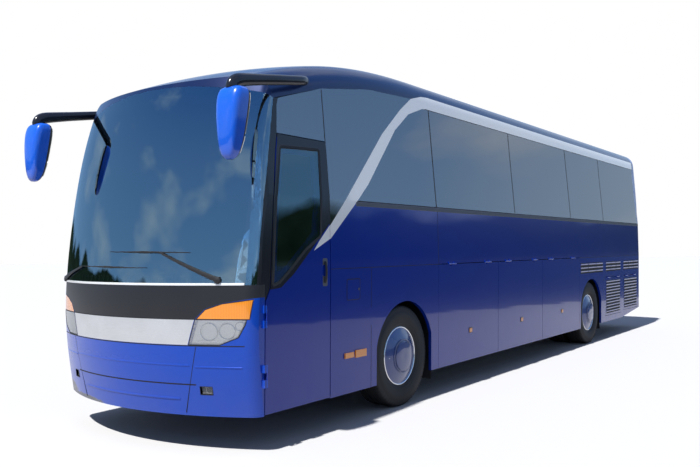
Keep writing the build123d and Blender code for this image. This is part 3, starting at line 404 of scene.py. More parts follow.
@dataclass(frozen=True)
class FloorFinish(Finish):
    """Plain floor: pale to the camera, a dark road as a source of light, a yard with a dark edge in mirrors.

    Args:
        road: Colour that lights what stands on it.
        yard: Colour mirrored near the vehicle.
        beyond: Colour mirrored past the yard's edge.
        edge: Y of that edge beside the middle of the vehicle.
        slant: How fast the edge closes in towards the rear.
    """

    road: tuple[float, float, float] = (0.2, 0.205, 0.23)
    yard: tuple[float, float, float] = (0.52, 0.52, 0.55)
    beyond: tuple[float, float, float] = (0.008, 0.024, 0.06)
    edge: float = 7.5
    slant: float = 0.25

    def shades(self, g: NodeGraph, at, tone):
        """Pale colour for camera rays, yard and edge for mirrored rays, road for the rest."""
        colour, rough = super().shades(g, at, tone)
        rays = g.add("LightPath").outputs
        parts = g.add("SeparateXYZ", {0: at}).outputs
        across = g.math("SUBTRACT", parts[1], g.math("MULTIPLY", parts[0], self.slant))
        torn = g.math("MULTIPLY_ADD", g.noise(at, 0.9, 4.0), 1.6)
        g.tree.links.new(across, torn.node.inputs[2])
        far = g.span(torn, self.edge, self.edge + 0.25)
        mirrored = g.mix(far, (*self.yard, 1.0), (*self.beyond, 1.0))
        other = g.mix(rays["Is Glossy Ray"], (*self.road, 1.0), mirrored)
        return g.mix(rays["Is Camera Ray"], other, colour), rough


BLUE = (0.002, 0.034, 0.4)
# The body's blue. Its dust is painted reflection of the pale ground: paler lilac blue towards the bottom.
PAINT = Finish(
    "paint_blue", BLUE, 0.2, coat=0.7, variation=0.12, pattern=Pattern.FLAKE, scale=900.0, bump=0.012,
    dust_and_reflection=0.25, dust_and_reflection_high=1.5,
    dust_and_reflection_colour=(0.1, 0.14, 0.42), tint=0.85,
)
# Body blue made lighter as painted sunlight on the front; its dust is painted reflection, duller low down.
SUNLIT_PAINT = Finish(
    "paint_blue_sunlit_copy", (0.006, 0.075, 0.56), 0.26, coat=0.6, variation=0.12, pattern=Pattern.FLAKE,
    scale=900.0, bump=0.012,
    dust_and_reflection=0.6, dust_and_reflection_high=0.95, dust_and_reflection_colour=(0.14, 0.15, 0.32), tint=0.8,
    patches=((-1.12, 0.34, 0.22, 0.07), (-0.75, 0.3, 0.45, 0.035)),
)
NAVY = Finish(
    "paint_navy", (0.005, 0.014, 0.06), 0.3, coat=0.5, variation=0.12, pattern=Pattern.FLAKE, scale=900.0,
    bump=0.012, tint=0.7,
)
# The faint glow is painted light: it keeps the silver pieces bright in the flank's shade.
SILVER = Finish(
    "paint_silver", (0.88, 0.93, 0.98), 0.34, metal=0.1, coat=0.8, pattern=Pattern.FLAKE, scale=1200.0,
    bump=0.02, emission=0.12,
)
STEEL = Finish(
    "brushed_steel", (0.74, 0.75, 0.76), 0.3, metal=0.6, variation=0.2, pattern=Pattern.BRUSHED,
    scale=260.0, bump=0.06,
)
BRIGHT = Finish(
    "bright_metal", (0.78, 0.79, 0.8), 0.14, metal=1.0, variation=0.06, pattern=Pattern.BRUSHED,
    scale=300.0, bump=0.02,
)
# The faint glow is painted light: it brightens the lamp reflectors and the mirror glass.
CHROME = Finish(
    "lamp_reflector", (0.94, 0.95, 0.96), 0.2, metal=0.35, variation=0.04, scale=40.0, bump=0.02,
    emission=0.1,
)
GLOSS = Finish(
    "black_gloss", (0.007, 0.007, 0.009), 0.22, coat=0.5, scale=160.0, bump=0.03, dust_and_reflection=0.05, dust_and_reflection_high=1.4,
)
PANEL = Finish("black_panel", (0.014, 0.014, 0.017), 0.38, scale=300.0, bump=0.06, dust_and_reflection=0.1, dust_and_reflection_high=1.6)
MATTE = Finish(
    "black_moulding", (0.012, 0.012, 0.013), 0.6, scale=420.0, bump=0.16, dust_and_reflection=0.3, dust_and_reflection_high=0.7,
)
GREY_TRIM = Finish("grey_trim", (0.13, 0.14, 0.16), 0.42, metal=0.3, scale=260.0, bump=0.06)
SCREEN = GlassFinish(
    "glass_screen", (0.6, 0.86, 1.0), 0.01, metal=1.0, variation=0.0, bump=0.0, alpha=0.03, ior=3.2,
)
TINTED = GlassFinish(
    "glass_tinted", (0.004, 0.012, 0.03), 0.01, variation=0.05, scale=0.8, bump=0.0, alpha=0.68, ior=2.6,
)
CLEAR = GlassFinish(
    "glass_clear", (0.6, 0.9, 1.0), 0.01, metal=1.0, variation=0.0, bump=0.0, alpha=0.05, ior=2.1,
)
LENS = GlassFinish(
    "lens_clear", (0.85, 0.88, 0.9), 0.03, variation=0.03, scale=60.0, bump=0.006, alpha=0.2, ior=1.5,
)
AMBER = Finish(
    "lens_amber", (1.0, 0.3, 0.02), 0.16, coat=1.0, variation=0.2, pattern=Pattern.RIBBED, scale=26.0,
    bump=0.35, emission=0.12,
)
RED = Finish(
    "lens_red", (0.45, 0.008, 0.008), 0.16, coat=1.0, variation=0.25, pattern=Pattern.RIBBED, scale=22.0,
    bump=0.3, emission=0.04,
)
FRAME = Finish(
    "frame_steel", (0.035, 0.036, 0.038), 0.6, metal=0.4, pattern=Pattern.MOTTLED, scale=60.0, bump=0.2,
    dust_and_reflection=0.5, dust_and_reflection_high=1.4,
)
CAST = Finish(
    "cast_iron", (0.06, 0.055, 0.05), 0.65, metal=0.6, variation=0.35, pattern=Pattern.MOTTLED, scale=140.0,
    bump=0.4, dust_and_reflection=0.5,
)
ALUMINIUM = Finish(
    "aluminium", (0.55, 0.56, 0.57), 0.35, metal=1.0, pattern=Pattern.BRUSHED, scale=200.0, bump=0.05,
)
RUBBER = Finish("rubber", (0.012, 0.012, 0.012), 0.62, scale=240.0, bump=0.15, dust_and_reflection=0.25, dust_and_reflection_high=0.8)
TYRE = Finish(
    "tyre_rubber", (0.017, 0.017, 0.018), 0.68, variation=0.25, scale=170.0, bump=0.2, dust_and_reflection=0.45,
    dust_and_reflection_high=0.9, dust_and_reflection_colour=(0.07, 0.065, 0.06),
)
COVER = Finish(
    "paint_wheel", (0.05, 0.1, 0.36), 0.26, coat=1.0, variation=0.1, pattern=Pattern.FLAKE, scale=900.0,
    bump=0.015, dust_and_reflection=0.3, dust_and_reflection_high=1.1,
)
COVER_BLUE = Finish(
    "paint_mirror", (0.004, 0.13, 0.85), 0.28, coat=1.0, variation=0.1, pattern=Pattern.FLAKE, scale=900.0,
    bump=0.012,
)
FABRIC = Finish(
    "seat_cloth", (0.035, 0.05, 0.14), 0.9, variation=0.55, pattern=Pattern.WEAVE, scale=260.0, bump=0.5,
    sheen=0.6,
)
HEADREST = Finish(
    "seat_leather", (0.03, 0.032, 0.04), 0.45, pattern=Pattern.MOTTLED, scale=220.0, bump=0.25,
)
DASH = Finish("dash_plastic", (0.32, 0.33, 0.34), 0.55, scale=500.0, bump=0.2)
GREY = Finish("grey_plastic", (0.18, 0.185, 0.19), 0.55, scale=420.0, bump=0.16)
VINYL = Finish(
    "floor_vinyl", (0.12, 0.125, 0.135), 0.6, variation=0.4, pattern=Pattern.FLAKE, scale=220.0, bump=0.08,
)
ENGINE = Finish(
    "engine_paint", (0.09, 0.1, 0.1), 0.5, variation=0.3, pattern=Pattern.MOTTLED, scale=90.0, bump=0.3,
    dust_and_reflection=0.5,
)
SEAM = Finish("seam_black", (0.004, 0.004, 0.006), 0.7, scale=200.0, bump=0.05)

NODE_FINISH = {
    PAINT: (
        "side_wall_left", "side_wall_right", "driver_door", "passenger_doors", "engine_lid", "rear_wall",
        "luggage_flap_left_1", "luggage_flap_left_2", "luggage_flap_left_3", "luggage_flap_right_1",
        "luggage_flap_right_2",
        "louvre_door_left_1", "louvre_door_left_2", "louvre_door_right_1", "louvre_door_right_2",
    ),
    # Bumper and fascia take the body blue lightened as painted sunlight.
    SUNLIT_PAINT: ("front_bumper", "front_fascia"),
    NAVY: ("roof_shell",),
    SILVER: ("accent_stripes",),
    STEEL: ("front_trim",),
    PANEL: ("front_panel",),
    GLOSS: ("windscreen_frame", "mirror_arms"),
    MATTE: ("wipers", "wheel_housings"),
    SCREEN: ("windscreen",),
    TINTED: ("side_glass_left", "side_glass_right", "rear_window"),
    CLEAR: ("driver_door_glass",),
    AMBER: ("amber_lamps",),
    RED: ("tail_lamps",),
    COVER: ("rim_front_left", "rim_front_right", "rim_rear_left", "rim_rear_right", "mirror_heads"),
    FRAME: ("underframe", "luggage_bay"),
    CAST: ("front_axle", "knuckle_left", "knuckle_right", "rear_axle"),
    RUBBER: ("air_springs", "mudflaps"),
    ENGINE: ("engine",),
    VINYL: ("saloon_floor",),
    DASH: ("dashboard",),
    GREY: ("luggage_racks",),
}


# ---------------------------------------------------------------- mesh forms
@dataclass(frozen=True)
class Form:
    """A mesh in numbers: points, four-sided faces and closing faces.

    Args:
        points: Array (n, 3).
        quads: Array (m, 4) of point numbers.
        caps: Arrays of point numbers, one for each closing face.
    """

    points: np.ndarray
    quads: np.ndarray
    caps: tuple[np.ndarray, ...] = ()

    @classmethod
    def grid(
        cls, points: np.ndarray, wrap_rows: bool = False, wrap_cols: bool = False, ends: bool = False,
    ) -> Form:
        """Faces over a grid (rows, columns, 3), closed where wrapped, with caps on its first and last row."""
        rows, cols = points.shape[:2]
        ids = np.arange(rows * cols).reshape(rows, cols)
        caps = (ids[0][::-1], ids[-1]) if ends else ()
        if wrap_rows:
            ids = np.vstack([ids, ids[:1]])
        if wrap_cols:
            ids = np.hstack([ids, ids[:, :1]])
        quads = np.stack([ids[:-1, :-1], ids[:-1, 1:], ids[1:, 1:], ids[1:, :-1]], -1).reshape(-1, 4)
        return cls(points.reshape(-1, 3), quads, caps)

    @classmethod
    def sweep(
        cls, path: np.ndarray, normals: np.ndarray, profile: np.ndarray, closed: bool = False,
    ) -> Form:
        """A profile carried along a path.

        Each ring is path + a * side + b * out, where (a, b) is a profile point, side is the tangent crossed
        with the normal, and out is at right angles to both.
        """
        path = np.asarray(path, float)
        normals = np.broadcast_to(np.asarray(normals, float), path.shape)
        if closed:
            tangent = np.roll(path, -1, axis=0) - np.roll(path, 1, axis=0)
        else:
            tangent = np.gradient(path, axis=0)
        tangent /= np.linalg.norm(tangent, axis=1, keepdims=True)
        side = np.cross(tangent, normals)
        side /= np.linalg.norm(side, axis=1, keepdims=True)
        out = np.cross(side, tangent)
        rings = path[:, None] + profile[None, :, :1] * side[:, None] + profile[None, :, 1:] * out[:, None]
        return cls.grid(rings, wrap_rows=closed, wrap_cols=True, ends=not closed)

    @classmethod
    def turned(cls, profile: np.ndarray, centre, steps: int = 64, ring: bool = False) -> Form:
        """A profile (along, radius) turned about the Y axis through centre; ring closes the profile."""
        angle = np.linspace(0, 2 * math.pi, steps, endpoint=False)[:, None]
        along, radius = np.asarray(profile, float).T
        points = np.stack([radius * np.cos(angle), along + 0 * angle, radius * np.sin(angle)], -1)
        return cls.grid(points + np.asarray(centre, float), wrap_rows=True, wrap_cols=ring)

    @classmethod
    def block(cls, x: tuple[float, float], y: tuple[float, float], z: tuple[float, float]) -> Form:
        """Six-sided block between limits, to be rounded by a bevel."""
        corners = np.array([(0, 0), (1, 0), (1, 1), (0, 1)])
        low = np.array([[(x[i], y[j], z[0]) for i, j in corners], [(x[i], y[j], z[1]) for i, j in corners]])
        return cls.grid(low, wrap_cols=True, ends=True)

    @classmethod
    def slab(cls, near: np.ndarray, far: np.ndarray) -> Form:
        """Solid between two outlines with the same number of points."""
        return cls.grid(np.stack([near, far]), wrap_cols=True, ends=True)

    @staticmethod
    def joined(forms: list[Form]) -> Form:
        """All forms as one."""
        starts = np.cumsum([0] + [len(f.points) for f in forms])
        return Form(
            np.concatenate([f.points for f in forms]),
            np.concatenate([f.quads + s for f, s in zip(forms, starts)]),
            tuple(cap + s for f, s in zip(forms, starts) for cap in f.caps),
        )

    def placed(self, matrix: Matrix) -> Form:
        """Moved by a matrix."""
        m = np.array(matrix)
        return Form(self.points @ m[:3, :3].T + m[:3, 3], self.quads, self.caps)

    def mirrored(self) -> Form:
        """The same form on the other side of the middle plane."""
        return Form(self.points * (1, -1, 1), self.quads[:, ::-1], tuple(c[::-1] for c in self.caps))

    def on_side(self, side: int) -> Form:
        """This form on the left, or mirrored on the right."""
        return self if side > 0 else self.mirrored()


def round_profile(radius: float, steps: int = 12) -> np.ndarray:
    """Circle as profile points."""
    a = np.linspace(0, 2 * math.pi, steps, endpoint=False)
    return radius * np.stack([np.cos(a), np.sin(a)], -1)


def strip_profile(width: float, height: float, sunk: float = 0.003) -> np.ndarray:
    """Low strip with rounded shoulders, sunk into what carries it."""
    w = width / 2
    r = min(w, height) * 0.45
    return np.array(
        [(-w, -sunk), (w, -sunk), (w, height - r), (w - r, height), (r - w, height), (-w, height - r)]
    )


def spread(points, step: float = 0.05) -> np.ndarray:
    """Points of a polyline divided evenly, corners kept."""
    points = np.asarray(points, float)
    counts = np.maximum(1, np.ceil(np.linalg.norm(np.diff(points, axis=0), axis=1) / step).astype(int))
    runs = [np.linspace(a, b, n, endpoint=False) for a, b, n in zip(points, points[1:], counts)]
    return np.concatenate(runs + [points[-1:]])


def rounded(points, radius: float, steps: int = 5, closed: bool = True) -> np.ndarray:
    """Polygon with each corner replaced by an arc-like curve (a quadratic between the two trimmed edges)."""
    p = np.asarray(points, float)
    before, after = np.roll(p, 1, axis=0) - p, np.roll(p, -1, axis=0) - p
    lb, la = np.linalg.norm(before, axis=1, keepdims=True), np.linalg.norm(after, axis=1, keepdims=True)
    start = p + before / lb * np.minimum(radius, lb * 0.45)
    end = p + after / la * np.minimum(radius, la * 0.45)
    t = np.linspace(0, 1, steps)[None, :, None]
    curve = (1 - t) ** 2 * start[:, None] + 2 * t * (1 - t) * p[:, None] + t**2 * end[:, None]
    if closed:
        return curve.reshape(-1, p.shape[1])
    return np.concatenate([p[:1], curve[1:-1].reshape(-1, p.shape[1]), p[-1:]])


def tapered(path: np.ndarray, normals, profile: np.ndarray, width) -> Form:
    """Sweep of a unit section that takes its size at each point of the path from width."""
    form = Form.sweep(path, normals, profile)
    rings = form.points.reshape(len(path), len(profile), 3)
    grown = path[:, None] + (rings - path[:, None]) * np.asarray(width)[:, None, None]
    return Form(grown.reshape(-1, 3), form.quads, form.caps)


def piece(
    name: str, form: Form, finish: Finish, body: str = ROOT, smooth: bool = True, bevel: float = 0.0,
    subdivide: int = 0,
    closed: bool = True,
) -> bpy.types.Object:
    """Make an object from a form.

    Args:
        name: Object name.
        form: Its mesh in numbers.
        finish: Its finish.
        body: The body that it rides on.
        smooth: Smooth shading with sharp edges kept by angle.
        bevel: Width of a bevel on its edges.
        subdivide: Levels of a subdivision surface.
        closed: Turn the faces outward.

    Returns:
        The object.
    """
    mesh = bpy.data.meshes.new(name)
    mesh.from_pydata(form.points.tolist(), [], form.quads.tolist() + [c.tolist() for c in form.caps])
    if closed:
        bm = bmesh.new()
        bm.from_mesh(mesh)
        bmesh.ops.recalc_face_normals(bm, faces=bm.faces)
        bm.to_mesh(mesh)
        bm.free()
    made = bpy.data.objects.new(name, mesh)
    bpy.context.scene.collection.objects.link(made)
    mesh.materials.append(finish.material())
    if smooth:
        mesh.shade_smooth()
        mesh.set_sharp_from_angle(angle=math.radians(38))
    if bevel:
        edge = made.modifiers.new("edge", "BEVEL")
        edge.width, edge.segments, edge.limit_method = bevel, 2, "ANGLE"
        edge.harden_normals = True
    if subdivide:
        level = made.modifiers.new("soft", "SUBSURF")
        level.levels = level.render_levels = subdivide
    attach(made, body)
    return made


# ---------------------------------------------------------------- the outer form in numbers
@dataclass(frozen=True)
class Shell:
    """The coach's outer form, for placing pieces on it."""

    widths: tuple[tuple[float, float], ...] = ((0.296, 1.25), (1.46, 1.275), (2.095, 1.27), (3.28, 1.176))
    setbacks: tuple[tuple[float, float], ...] = (
        (0.15, 0.092), (0.52, 0.04), (0.88, 0.0), (1.36, 0.004), (1.9, 0.066), (2.45, 0.162), (2.95, 0.3),
        (3.3, 0.44), (3.75, 0.66),
    )
    nose_r: float = 2.55
    corner_r: float = 0.15
    corner_in: float = 0.075

    def half_width(self, z):
        """Half width of the flank at a height."""
        heights, widths = np.array(self.widths).T
        return np.interp(z, heights, widths)

    def setback(self, z):
        """How far the nose lies back at a height: a natural cubic spline through the levels."""
        h, v = np.array(self.setbacks).T
        gap = np.diff(h)
        n = len(h)
        system = np.eye(n)
        right = np.zeros(n)
        rows = np.arange(1, n - 1)
        system[rows, rows - 1], system[rows, rows], system[rows, rows + 1] = gap[:-1], 2 * (
            gap[:-1] + gap[1:]
        ), gap[1:]
        right[1:-1] = 6 * (np.diff(v)[1:] / gap[1:] - np.diff(v)[:-1] / gap[:-1])
        m = np.linalg.solve(system, right)
        i = np.clip(np.searchsorted(h, z) - 1, 0, n - 2)
        a, b = h[i + 1] - z, z - h[i]
        g = gap[i]
        return (m[i] * a**3 + m[i + 1] * b**3) / (6 * g) + (v[i] / g - m[i] * g / 6) * a + (
            v[i + 1] / g - m[i + 1] * g / 6
        ) * b

    def nose(self, yz: np.ndarray, out: float = 0.0) -> np.ndarray:
        """Points on the nose over an array (n, 2) of Y and Z, out from it.

        In plan the nose is an arc of nose_r that runs into a corner arc of corner_r near each flank.
        """
        y, z = np.asarray(yz, float).T
        reach = np.abs(y)
        a0 = np.arcsin((self.half_width(z) - self.corner_in) / self.nose_r)
        centre = NOSE_X - self.setback(z) - self.nose_r
        cx = centre + (self.nose_r - self.corner_r) * np.cos(a0)
        cy = (self.nose_r - self.corner_r) * np.sin(a0)
        front = centre + np.sqrt(np.maximum(0, (self.nose_r + out) ** 2 - reach**2))
        corner = cx + np.sqrt(np.maximum(0, (self.corner_r + out) ** 2 - np.maximum(0, reach - cy) ** 2))
        x = np.where(reach <= (self.nose_r + out) * np.sin(a0), front, corner)
        return np.stack([x, y, z], -1)

    def nose_normal(self, yz: np.ndarray) -> np.ndarray:
        """Outward directions on the nose, from differences over 2 mm."""
        yz = np.asarray(yz, float)
        d = 0.002
        across = self.nose(yz + (d, 0)) - self.nose(yz - (d, 0))
        up = self.nose(yz + (0, d)) - self.nose(yz - (0, d))
        normal = np.cross(across, up)
        return normal / np.linalg.norm(normal, axis=1, keepdims=True)

    def flank(self, xz: np.ndarray, side: int = 1, out: float = 0.0) -> np.ndarray:
        """Points on a flank over an array (n, 2) of X and Z."""
        x, z = np.asarray(xz, float).T
        return np.stack([x, side * (self.half_width(z) + out), z], -1)

    def nose_strip(
        self, yz, profile: np.ndarray, closed: bool = False, step: float = 0.04, out: float = 0.0,
    ) -> Form:
        """Strip that follows a line on the nose."""
        line = spread(yz, step)
        return Form.sweep(self.nose(line, out), self.nose_normal(line), profile, closed)

    def flank_strip(
        self, xz, profile: np.ndarray, side: int = 1, closed: bool = False, step: float = 0.25,
        out: float = 0.0,
    ) -> Form:
        """Strip that follows a line on a flank."""
        line = spread(xz, step)
        return Form.sweep(self.flank(line, side, out), (0, side, 0), profile, closed)

    def flank_slab(self, xz, side: int, low: float, high: float) -> Form:
        """Plate with an outline on a flank, between two distances from it."""
        return Form.slab(self.flank(xz, side, low), self.flank(xz, side, high))


SHELL = Shell()


def axle(x: float) -> float:
    """X from the front axle to the frame."""
    return FRONT_AXLE + x


# ---------------------------------------------------------------- sub-assemblies
@dataclass
class Wheels:
    """Tyres with tread, and the covers' bright edges and hub."""

    steps: int = 288
    blocks: int = 72
    outer: float = AXLE_Z
    groove: float = 0.009
    lug: float = 0.007
    nick: float = 0.004
    places: tuple[tuple[str, float, int, tuple[float, ...]], ...] = (
        ("front_left", FRONT_AXLE, 1, (0.0,)), ("front_right", FRONT_AXLE, -1, (0.0,)),
        ("rear_left", REAR_AXLE, 1, (0.0, TWIN_PITCH)), ("rear_right", REAR_AXLE, -1, (0.0, TWIN_PITCH)),
    )

    def tyre(self, centre) -> Form:
        """Tyre as a turned profile with grooves.

        The profile runs from bead to bead over the tread. Tread points are lowered by groove inside four
        grooves round the tyre. In every second block the shoulders are lowered by lug and the ribs by nick.
        """
        r = self.outer
        wall = [
            (0.108, 0.2925), (0.119, 0.304), (0.128, 0.32), (0.1335, 0.335), (0.1365, 0.337), (0.141, 0.36),
            (0.1435, 0.362), (0.1475, 0.395), (0.149, 0.41), (0.1485, 0.43), (0.1455, 0.452),
            (0.1435, 0.455),
            (0.141, 0.48), (0.137, 0.5),
        ]
        tread = np.array(
            [0.1305, 0.12, 0.104, 0.0905, 0.089, 0.077, 0.0755, 0.05, 0.036, 0.0345, 0.0225, 0.021, 0.008]
        )
        low = np.array([0.008, 0.001, 0, 0, 1, 1, 0, 0, 0, 1, 1, 0, 0])
        depth = np.where(low == 1, self.groove, np.where(low < 1, low, 0))
        half_profile = np.array(wall + list(zip(tread, r - depth)))
        profile = np.concatenate([half_profile, half_profile[::-1] * (-1, 1)])
        form = Form.turned(profile, (0, 0, 0), self.steps)
        rings = form.points.reshape(self.steps, -1, 3)
        reach = np.abs(rings[0, :, 1])
        angle_step = (np.arange(self.steps) * self.blocks * 2 // self.steps) % 2
        shoulder = (reach > 0.095) & (np.hypot(rings[0, :, 0], rings[0, :, 2]) > 0.478)
        rib = (reach > 0.04) & (reach < 0.07)
        shrink = 1 - (self.lug * shoulder + self.nick * rib) / r * angle_step[:, None]
        rings = rings * np.stack([shrink, np.ones_like(shrink), shrink], -1)
        return Form(rings.reshape(-1, 3) + centre, form.quads)

    def ring(self, centre, side: int) -> Form:
        """Bright edge round the cover: a half-round bead at the rim's flange."""
        profile = np.array([0.0, 0.297]) + round_profile(0.0065, 10) * (1.0, 1.1)
        return Form.turned(profile, centre, 96, ring=True).on_side(side)

    def build(self) -> None:
        """Make the pieces of the four wheel positions."""
        for name, x, side, offsets in self.places:
            body = f"wheel_{name}"
            tyres = [self.tyre((x, side * (TYRE_Y - offset), AXLE_Z)) for offset in offsets]
            made = piece(f"tread_{name}", Form.joined(tyres), TYRE, body, closed=False)
            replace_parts(made, f"tyre_{name}")
            at = np.array((x, TYRE_Y + 0.117, AXLE_Z))
            piece(f"cover_edge_{name}", self.ring(at, side), BRIGHT, body)
            hub = [(0.1685, 0.0), (0.1705, 0.02), (0.1705, 0.148), (0.169, 0.152), (0.1675, 0.152)]
            groove = [(0.1665, 0.166), (0.1685, 0.168), (0.1685, 0.174), (0.166, 0.176)]
            base = np.array((x, TYRE_Y, AXLE_Z))
            plate = Form.turned(np.array(hub), base, 72)
            ring = Form.turned(np.array(groove), base, 72, ring=True)
            piece(f"cover_face_{name}", Form.joined([plate, ring]).on_side(side), COVER, body, closed=False)
            valve = Form.turned(
                np.array([(0.118, 0.0001), (0.118, 0.006), (0.15, 0.004), (0.15, 0.0001)]),
                (x + 0.245, TYRE_Y, AXLE_Z), 10,
            )
            piece(f"valve_{name}", valve.on_side(side), BRIGHT, body)


@dataclass
class Headlamps:
    """Clear lenses with reflector bowls behind, and the fog lamps.

    Bowls are (y, z, radius); fog is (inner y, outer y, low z, high z).
    """

    outline: tuple[tuple[float, float], ...] = (
        (0.742, 0.878), (1.0, 0.88), (1.149, 0.943), (1.2, 1.04), (1.212, 1.085), (0.806, 1.085),
    )
    bowls: tuple[tuple[float, float, float], ...] = (
        (0.9, 0.985, 0.07), (1.045, 0.99, 0.062), (1.145, 1.03, 0.036),
    )
    fog: tuple[float, float, float, float] = (0.81, 0.915, 0.475, 0.541)

    def patch(self, outline, inset: float, side: int) -> Form:
        """Sheet on the nose inside an outline: rings that shrink towards its middle."""
        edge = spread(np.vstack([outline, outline[:1]]), 0.025)[:-1]
        middle = edge.mean(axis=0)
        share = np.linspace(1, 0.02, 9)[:, None, None]
        yz = middle + (edge - middle) * share
        points = SHELL.nose(yz.reshape(-1, 2), -inset).reshape(*yz.shape[:2], 3)
        points *= (1, side, 1)
        rows = points if side > 0 else points[:, ::-1]
        form = Form.grid(rows, wrap_cols=True)
        last = np.arange(rows.shape[1]) + rows.shape[1] * (rows.shape[0] - 1)
        return Form(form.points, form.quads, (last,))

    def wall(self, outline, low: float, high: float, side: int) -> Form:
        """Side walls of the lamp's body, from the lens in to the back."""
        edge = spread(np.vstack([outline, outline[:1]]), 0.025)[:-1]
        rows = np.stack([SHELL.nose(edge, -low), SHELL.nose(edge, -high)])
        return Form.grid(rows, wrap_cols=True).on_side(side)

    def bowl(self, y: float, z: float, radius: float, side: int) -> Form:
        """Reflector: a paraboloid open forwards, with a bulb in it.

        Depth grows with the square of the radius, from the rim back to the middle.
        """
        share = np.linspace(1.0, 0.12, 9)[:, None]
        angle = np.linspace(0, 2 * math.pi, 36, endpoint=False)[None]
        mouth = SHELL.nose(np.array([[y, z]]), -0.03)[0]
        turn = np.abs(y) / SHELL.nose_r
        points = np.stack([
            -0.055 * (1 - share**2) + 0 * angle,
            radius * share * np.cos(angle),
            radius * share * np.sin(angle),
        ], -1)
        tilt = np.array(Matrix.Rotation(turn, 3, "Z"))
        form = Form.grid(points @ tilt.T + mouth, wrap_cols=True)
        bulb = Form.turned(
            np.array(
                [(0.0, 0.002), (0.008, 0.012), (0.022, 0.014), (0.034, 0.009), (0.04, 0.002)]
            ) * (1, radius / 0.05),
            (0, 0, 0), 20,
        )
        spin = Matrix.Rotation(math.radians(-90) + turn, 4, "Z")
        bulb = bulb.placed(Matrix.Translation(Vector(mouth) + Vector((-0.05, 0, 0))) @ spin)
        return Form.joined([form, bulb]).on_side(side)

    def build(self) -> None:
        """Make lens, body, bowls and fog lamps on both sides."""
        shape = np.array(self.outline)
        y0, y1, z0, z1 = self.fog
        fog_shape = np.array([(y0, z0), (y1, z0), (y1, z1), (y0, z1)])
        lenses, bodies, bowls, rims, wells = [], [], [], [], []
        for _, side in SIDES:
            lenses += [self.patch(shape, 0.001, side), self.patch(fog_shape, 0.02, side)]
            bodies.append(self.patch(shape, 0.036, side))
            bodies.append(self.wall(shape, 0.001, 0.036, side))
            wells += [self.patch(fog_shape, 0.038, side), self.wall(fog_shape, 0.0, 0.038, side)]
            for y, z, radius in self.bowls:
                bowls.append(self.bowl(y, z, radius, side))
                angle = np.linspace(0, 2 * math.pi, 40, endpoint=False)
                loop = np.stack([y + radius * np.cos(angle), z + radius * np.sin(angle)], -1)
                rims.append(
                    Form.sweep(
                        SHELL.nose(loop, -0.027), SHELL.nose_normal(loop), round_profile(0.005, 8), True,
                    ).on_side(side)
                )
            rims.append(
                SHELL.nose_strip(
                    [(0.8, 0.905), (1.02, 0.905)], strip_profile(0.014, 0.004), out=-0.03,
                ).on_side(side)
            )
            bowls.append(self.bowl((y0 + y1) / 2, (z0 + z1) / 2, 0.03, side))
        lens = piece("headlamp_lenses", Form.joined(lenses), LENS, closed=False)
        solid = lens.modifiers.new("glass", "SOLIDIFY")
        solid.thickness, solid.offset = 0.003, -1.0
        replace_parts(lens, "front_lamps")
        piece("headlamp_bodies", Form.joined(bodies), CHROME, closed=False)
        piece("headlamp_bowls", Form.joined(bowls), CHROME, closed=False)
        piece("headlamp_rims", Form.joined(rims), BRIGHT)
        piece("fog_wells", Form.joined(wells), MATTE, closed=False)
        thin = strip_profile(0.005, 0.0012)
        gaskets = [
            SHELL.nose_strip(np.vstack([outline, outline[:1]]), thin, step=0.03).on_side(side)
            for outline in (shape, fog_shape)
            for _, side in SIDES
        ]
        piece("headlamp_gaskets", Form.joined(gaskets), SEAM)


@dataclass
class Nose:
    """Seams, crease and mouldings of the front."""

    def build(self) -> None:
        """Make the strips on the nose."""
        fine = strip_profile(0.006, 0.0008)
        seams = []
        for _, side in SIDES:
            line = [(0.807, 0.864), (0.74, 0.6), (0.665, 0.32)]
            seams.append(SHELL.nose_strip(line, fine).on_side(side))
        top = [(-1.19, 0.873), (-0.74, 0.872), (0.74, 0.872), (1.19, 0.873)]
        seams.append(SHELL.nose_strip(top, strip_profile(0.008, 0.001)))
        seams.append(SHELL.nose_strip([(-0.78, 0.553), (0.78, 0.553)], strip_profile(0.011, 0.0008)))
        seams.append(SHELL.nose_strip([(-0.81, 1.0865), (0.81, 1.0865)], strip_profile(0.007, 0.0012)))
        piece("nose_seams", Form.joined(seams), SEAM)
        corner_crease = SHELL.nose_strip([(0.79, 0.7), (1.16, 0.7)], strip_profile(0.012, 0.0035))
        crease = [corner_crease.on_side(side) for _, side in SIDES]
        crease.append(SHELL.nose_strip([(-0.74, 0.71), (0.74, 0.71)], strip_profile(0.012, 0.003)))
        crease.append(SHELL.nose_strip([(-0.62, 0.43), (0.62, 0.43)], strip_profile(0.014, 0.003)))
        # The creases take the front's blue, lightened as painted sunlight.
        piece("nose_creases", Form.joined(crease), SUNLIT_PAINT)
        moulding = SHELL.nose_strip([(-1.19, 1.367), (1.19, 1.367)], strip_profile(0.02, 0.006))
        piece("screen_moulding", moulding, SILVER)
        lips = []
        for _, side in SIDES:
            edge = [
                (0.816, 1.087), (0.892, 1.165), (1.025, 1.212), (1.248, 1.244), (1.228, 1.087),
                (0.816, 1.087),
            ]
            lips.append(SHELL.nose_strip(edge, strip_profile(0.007, 0.0015), step=0.03).on_side(side))
        piece("indicator_gaskets", Form.joined(lips), SEAM)


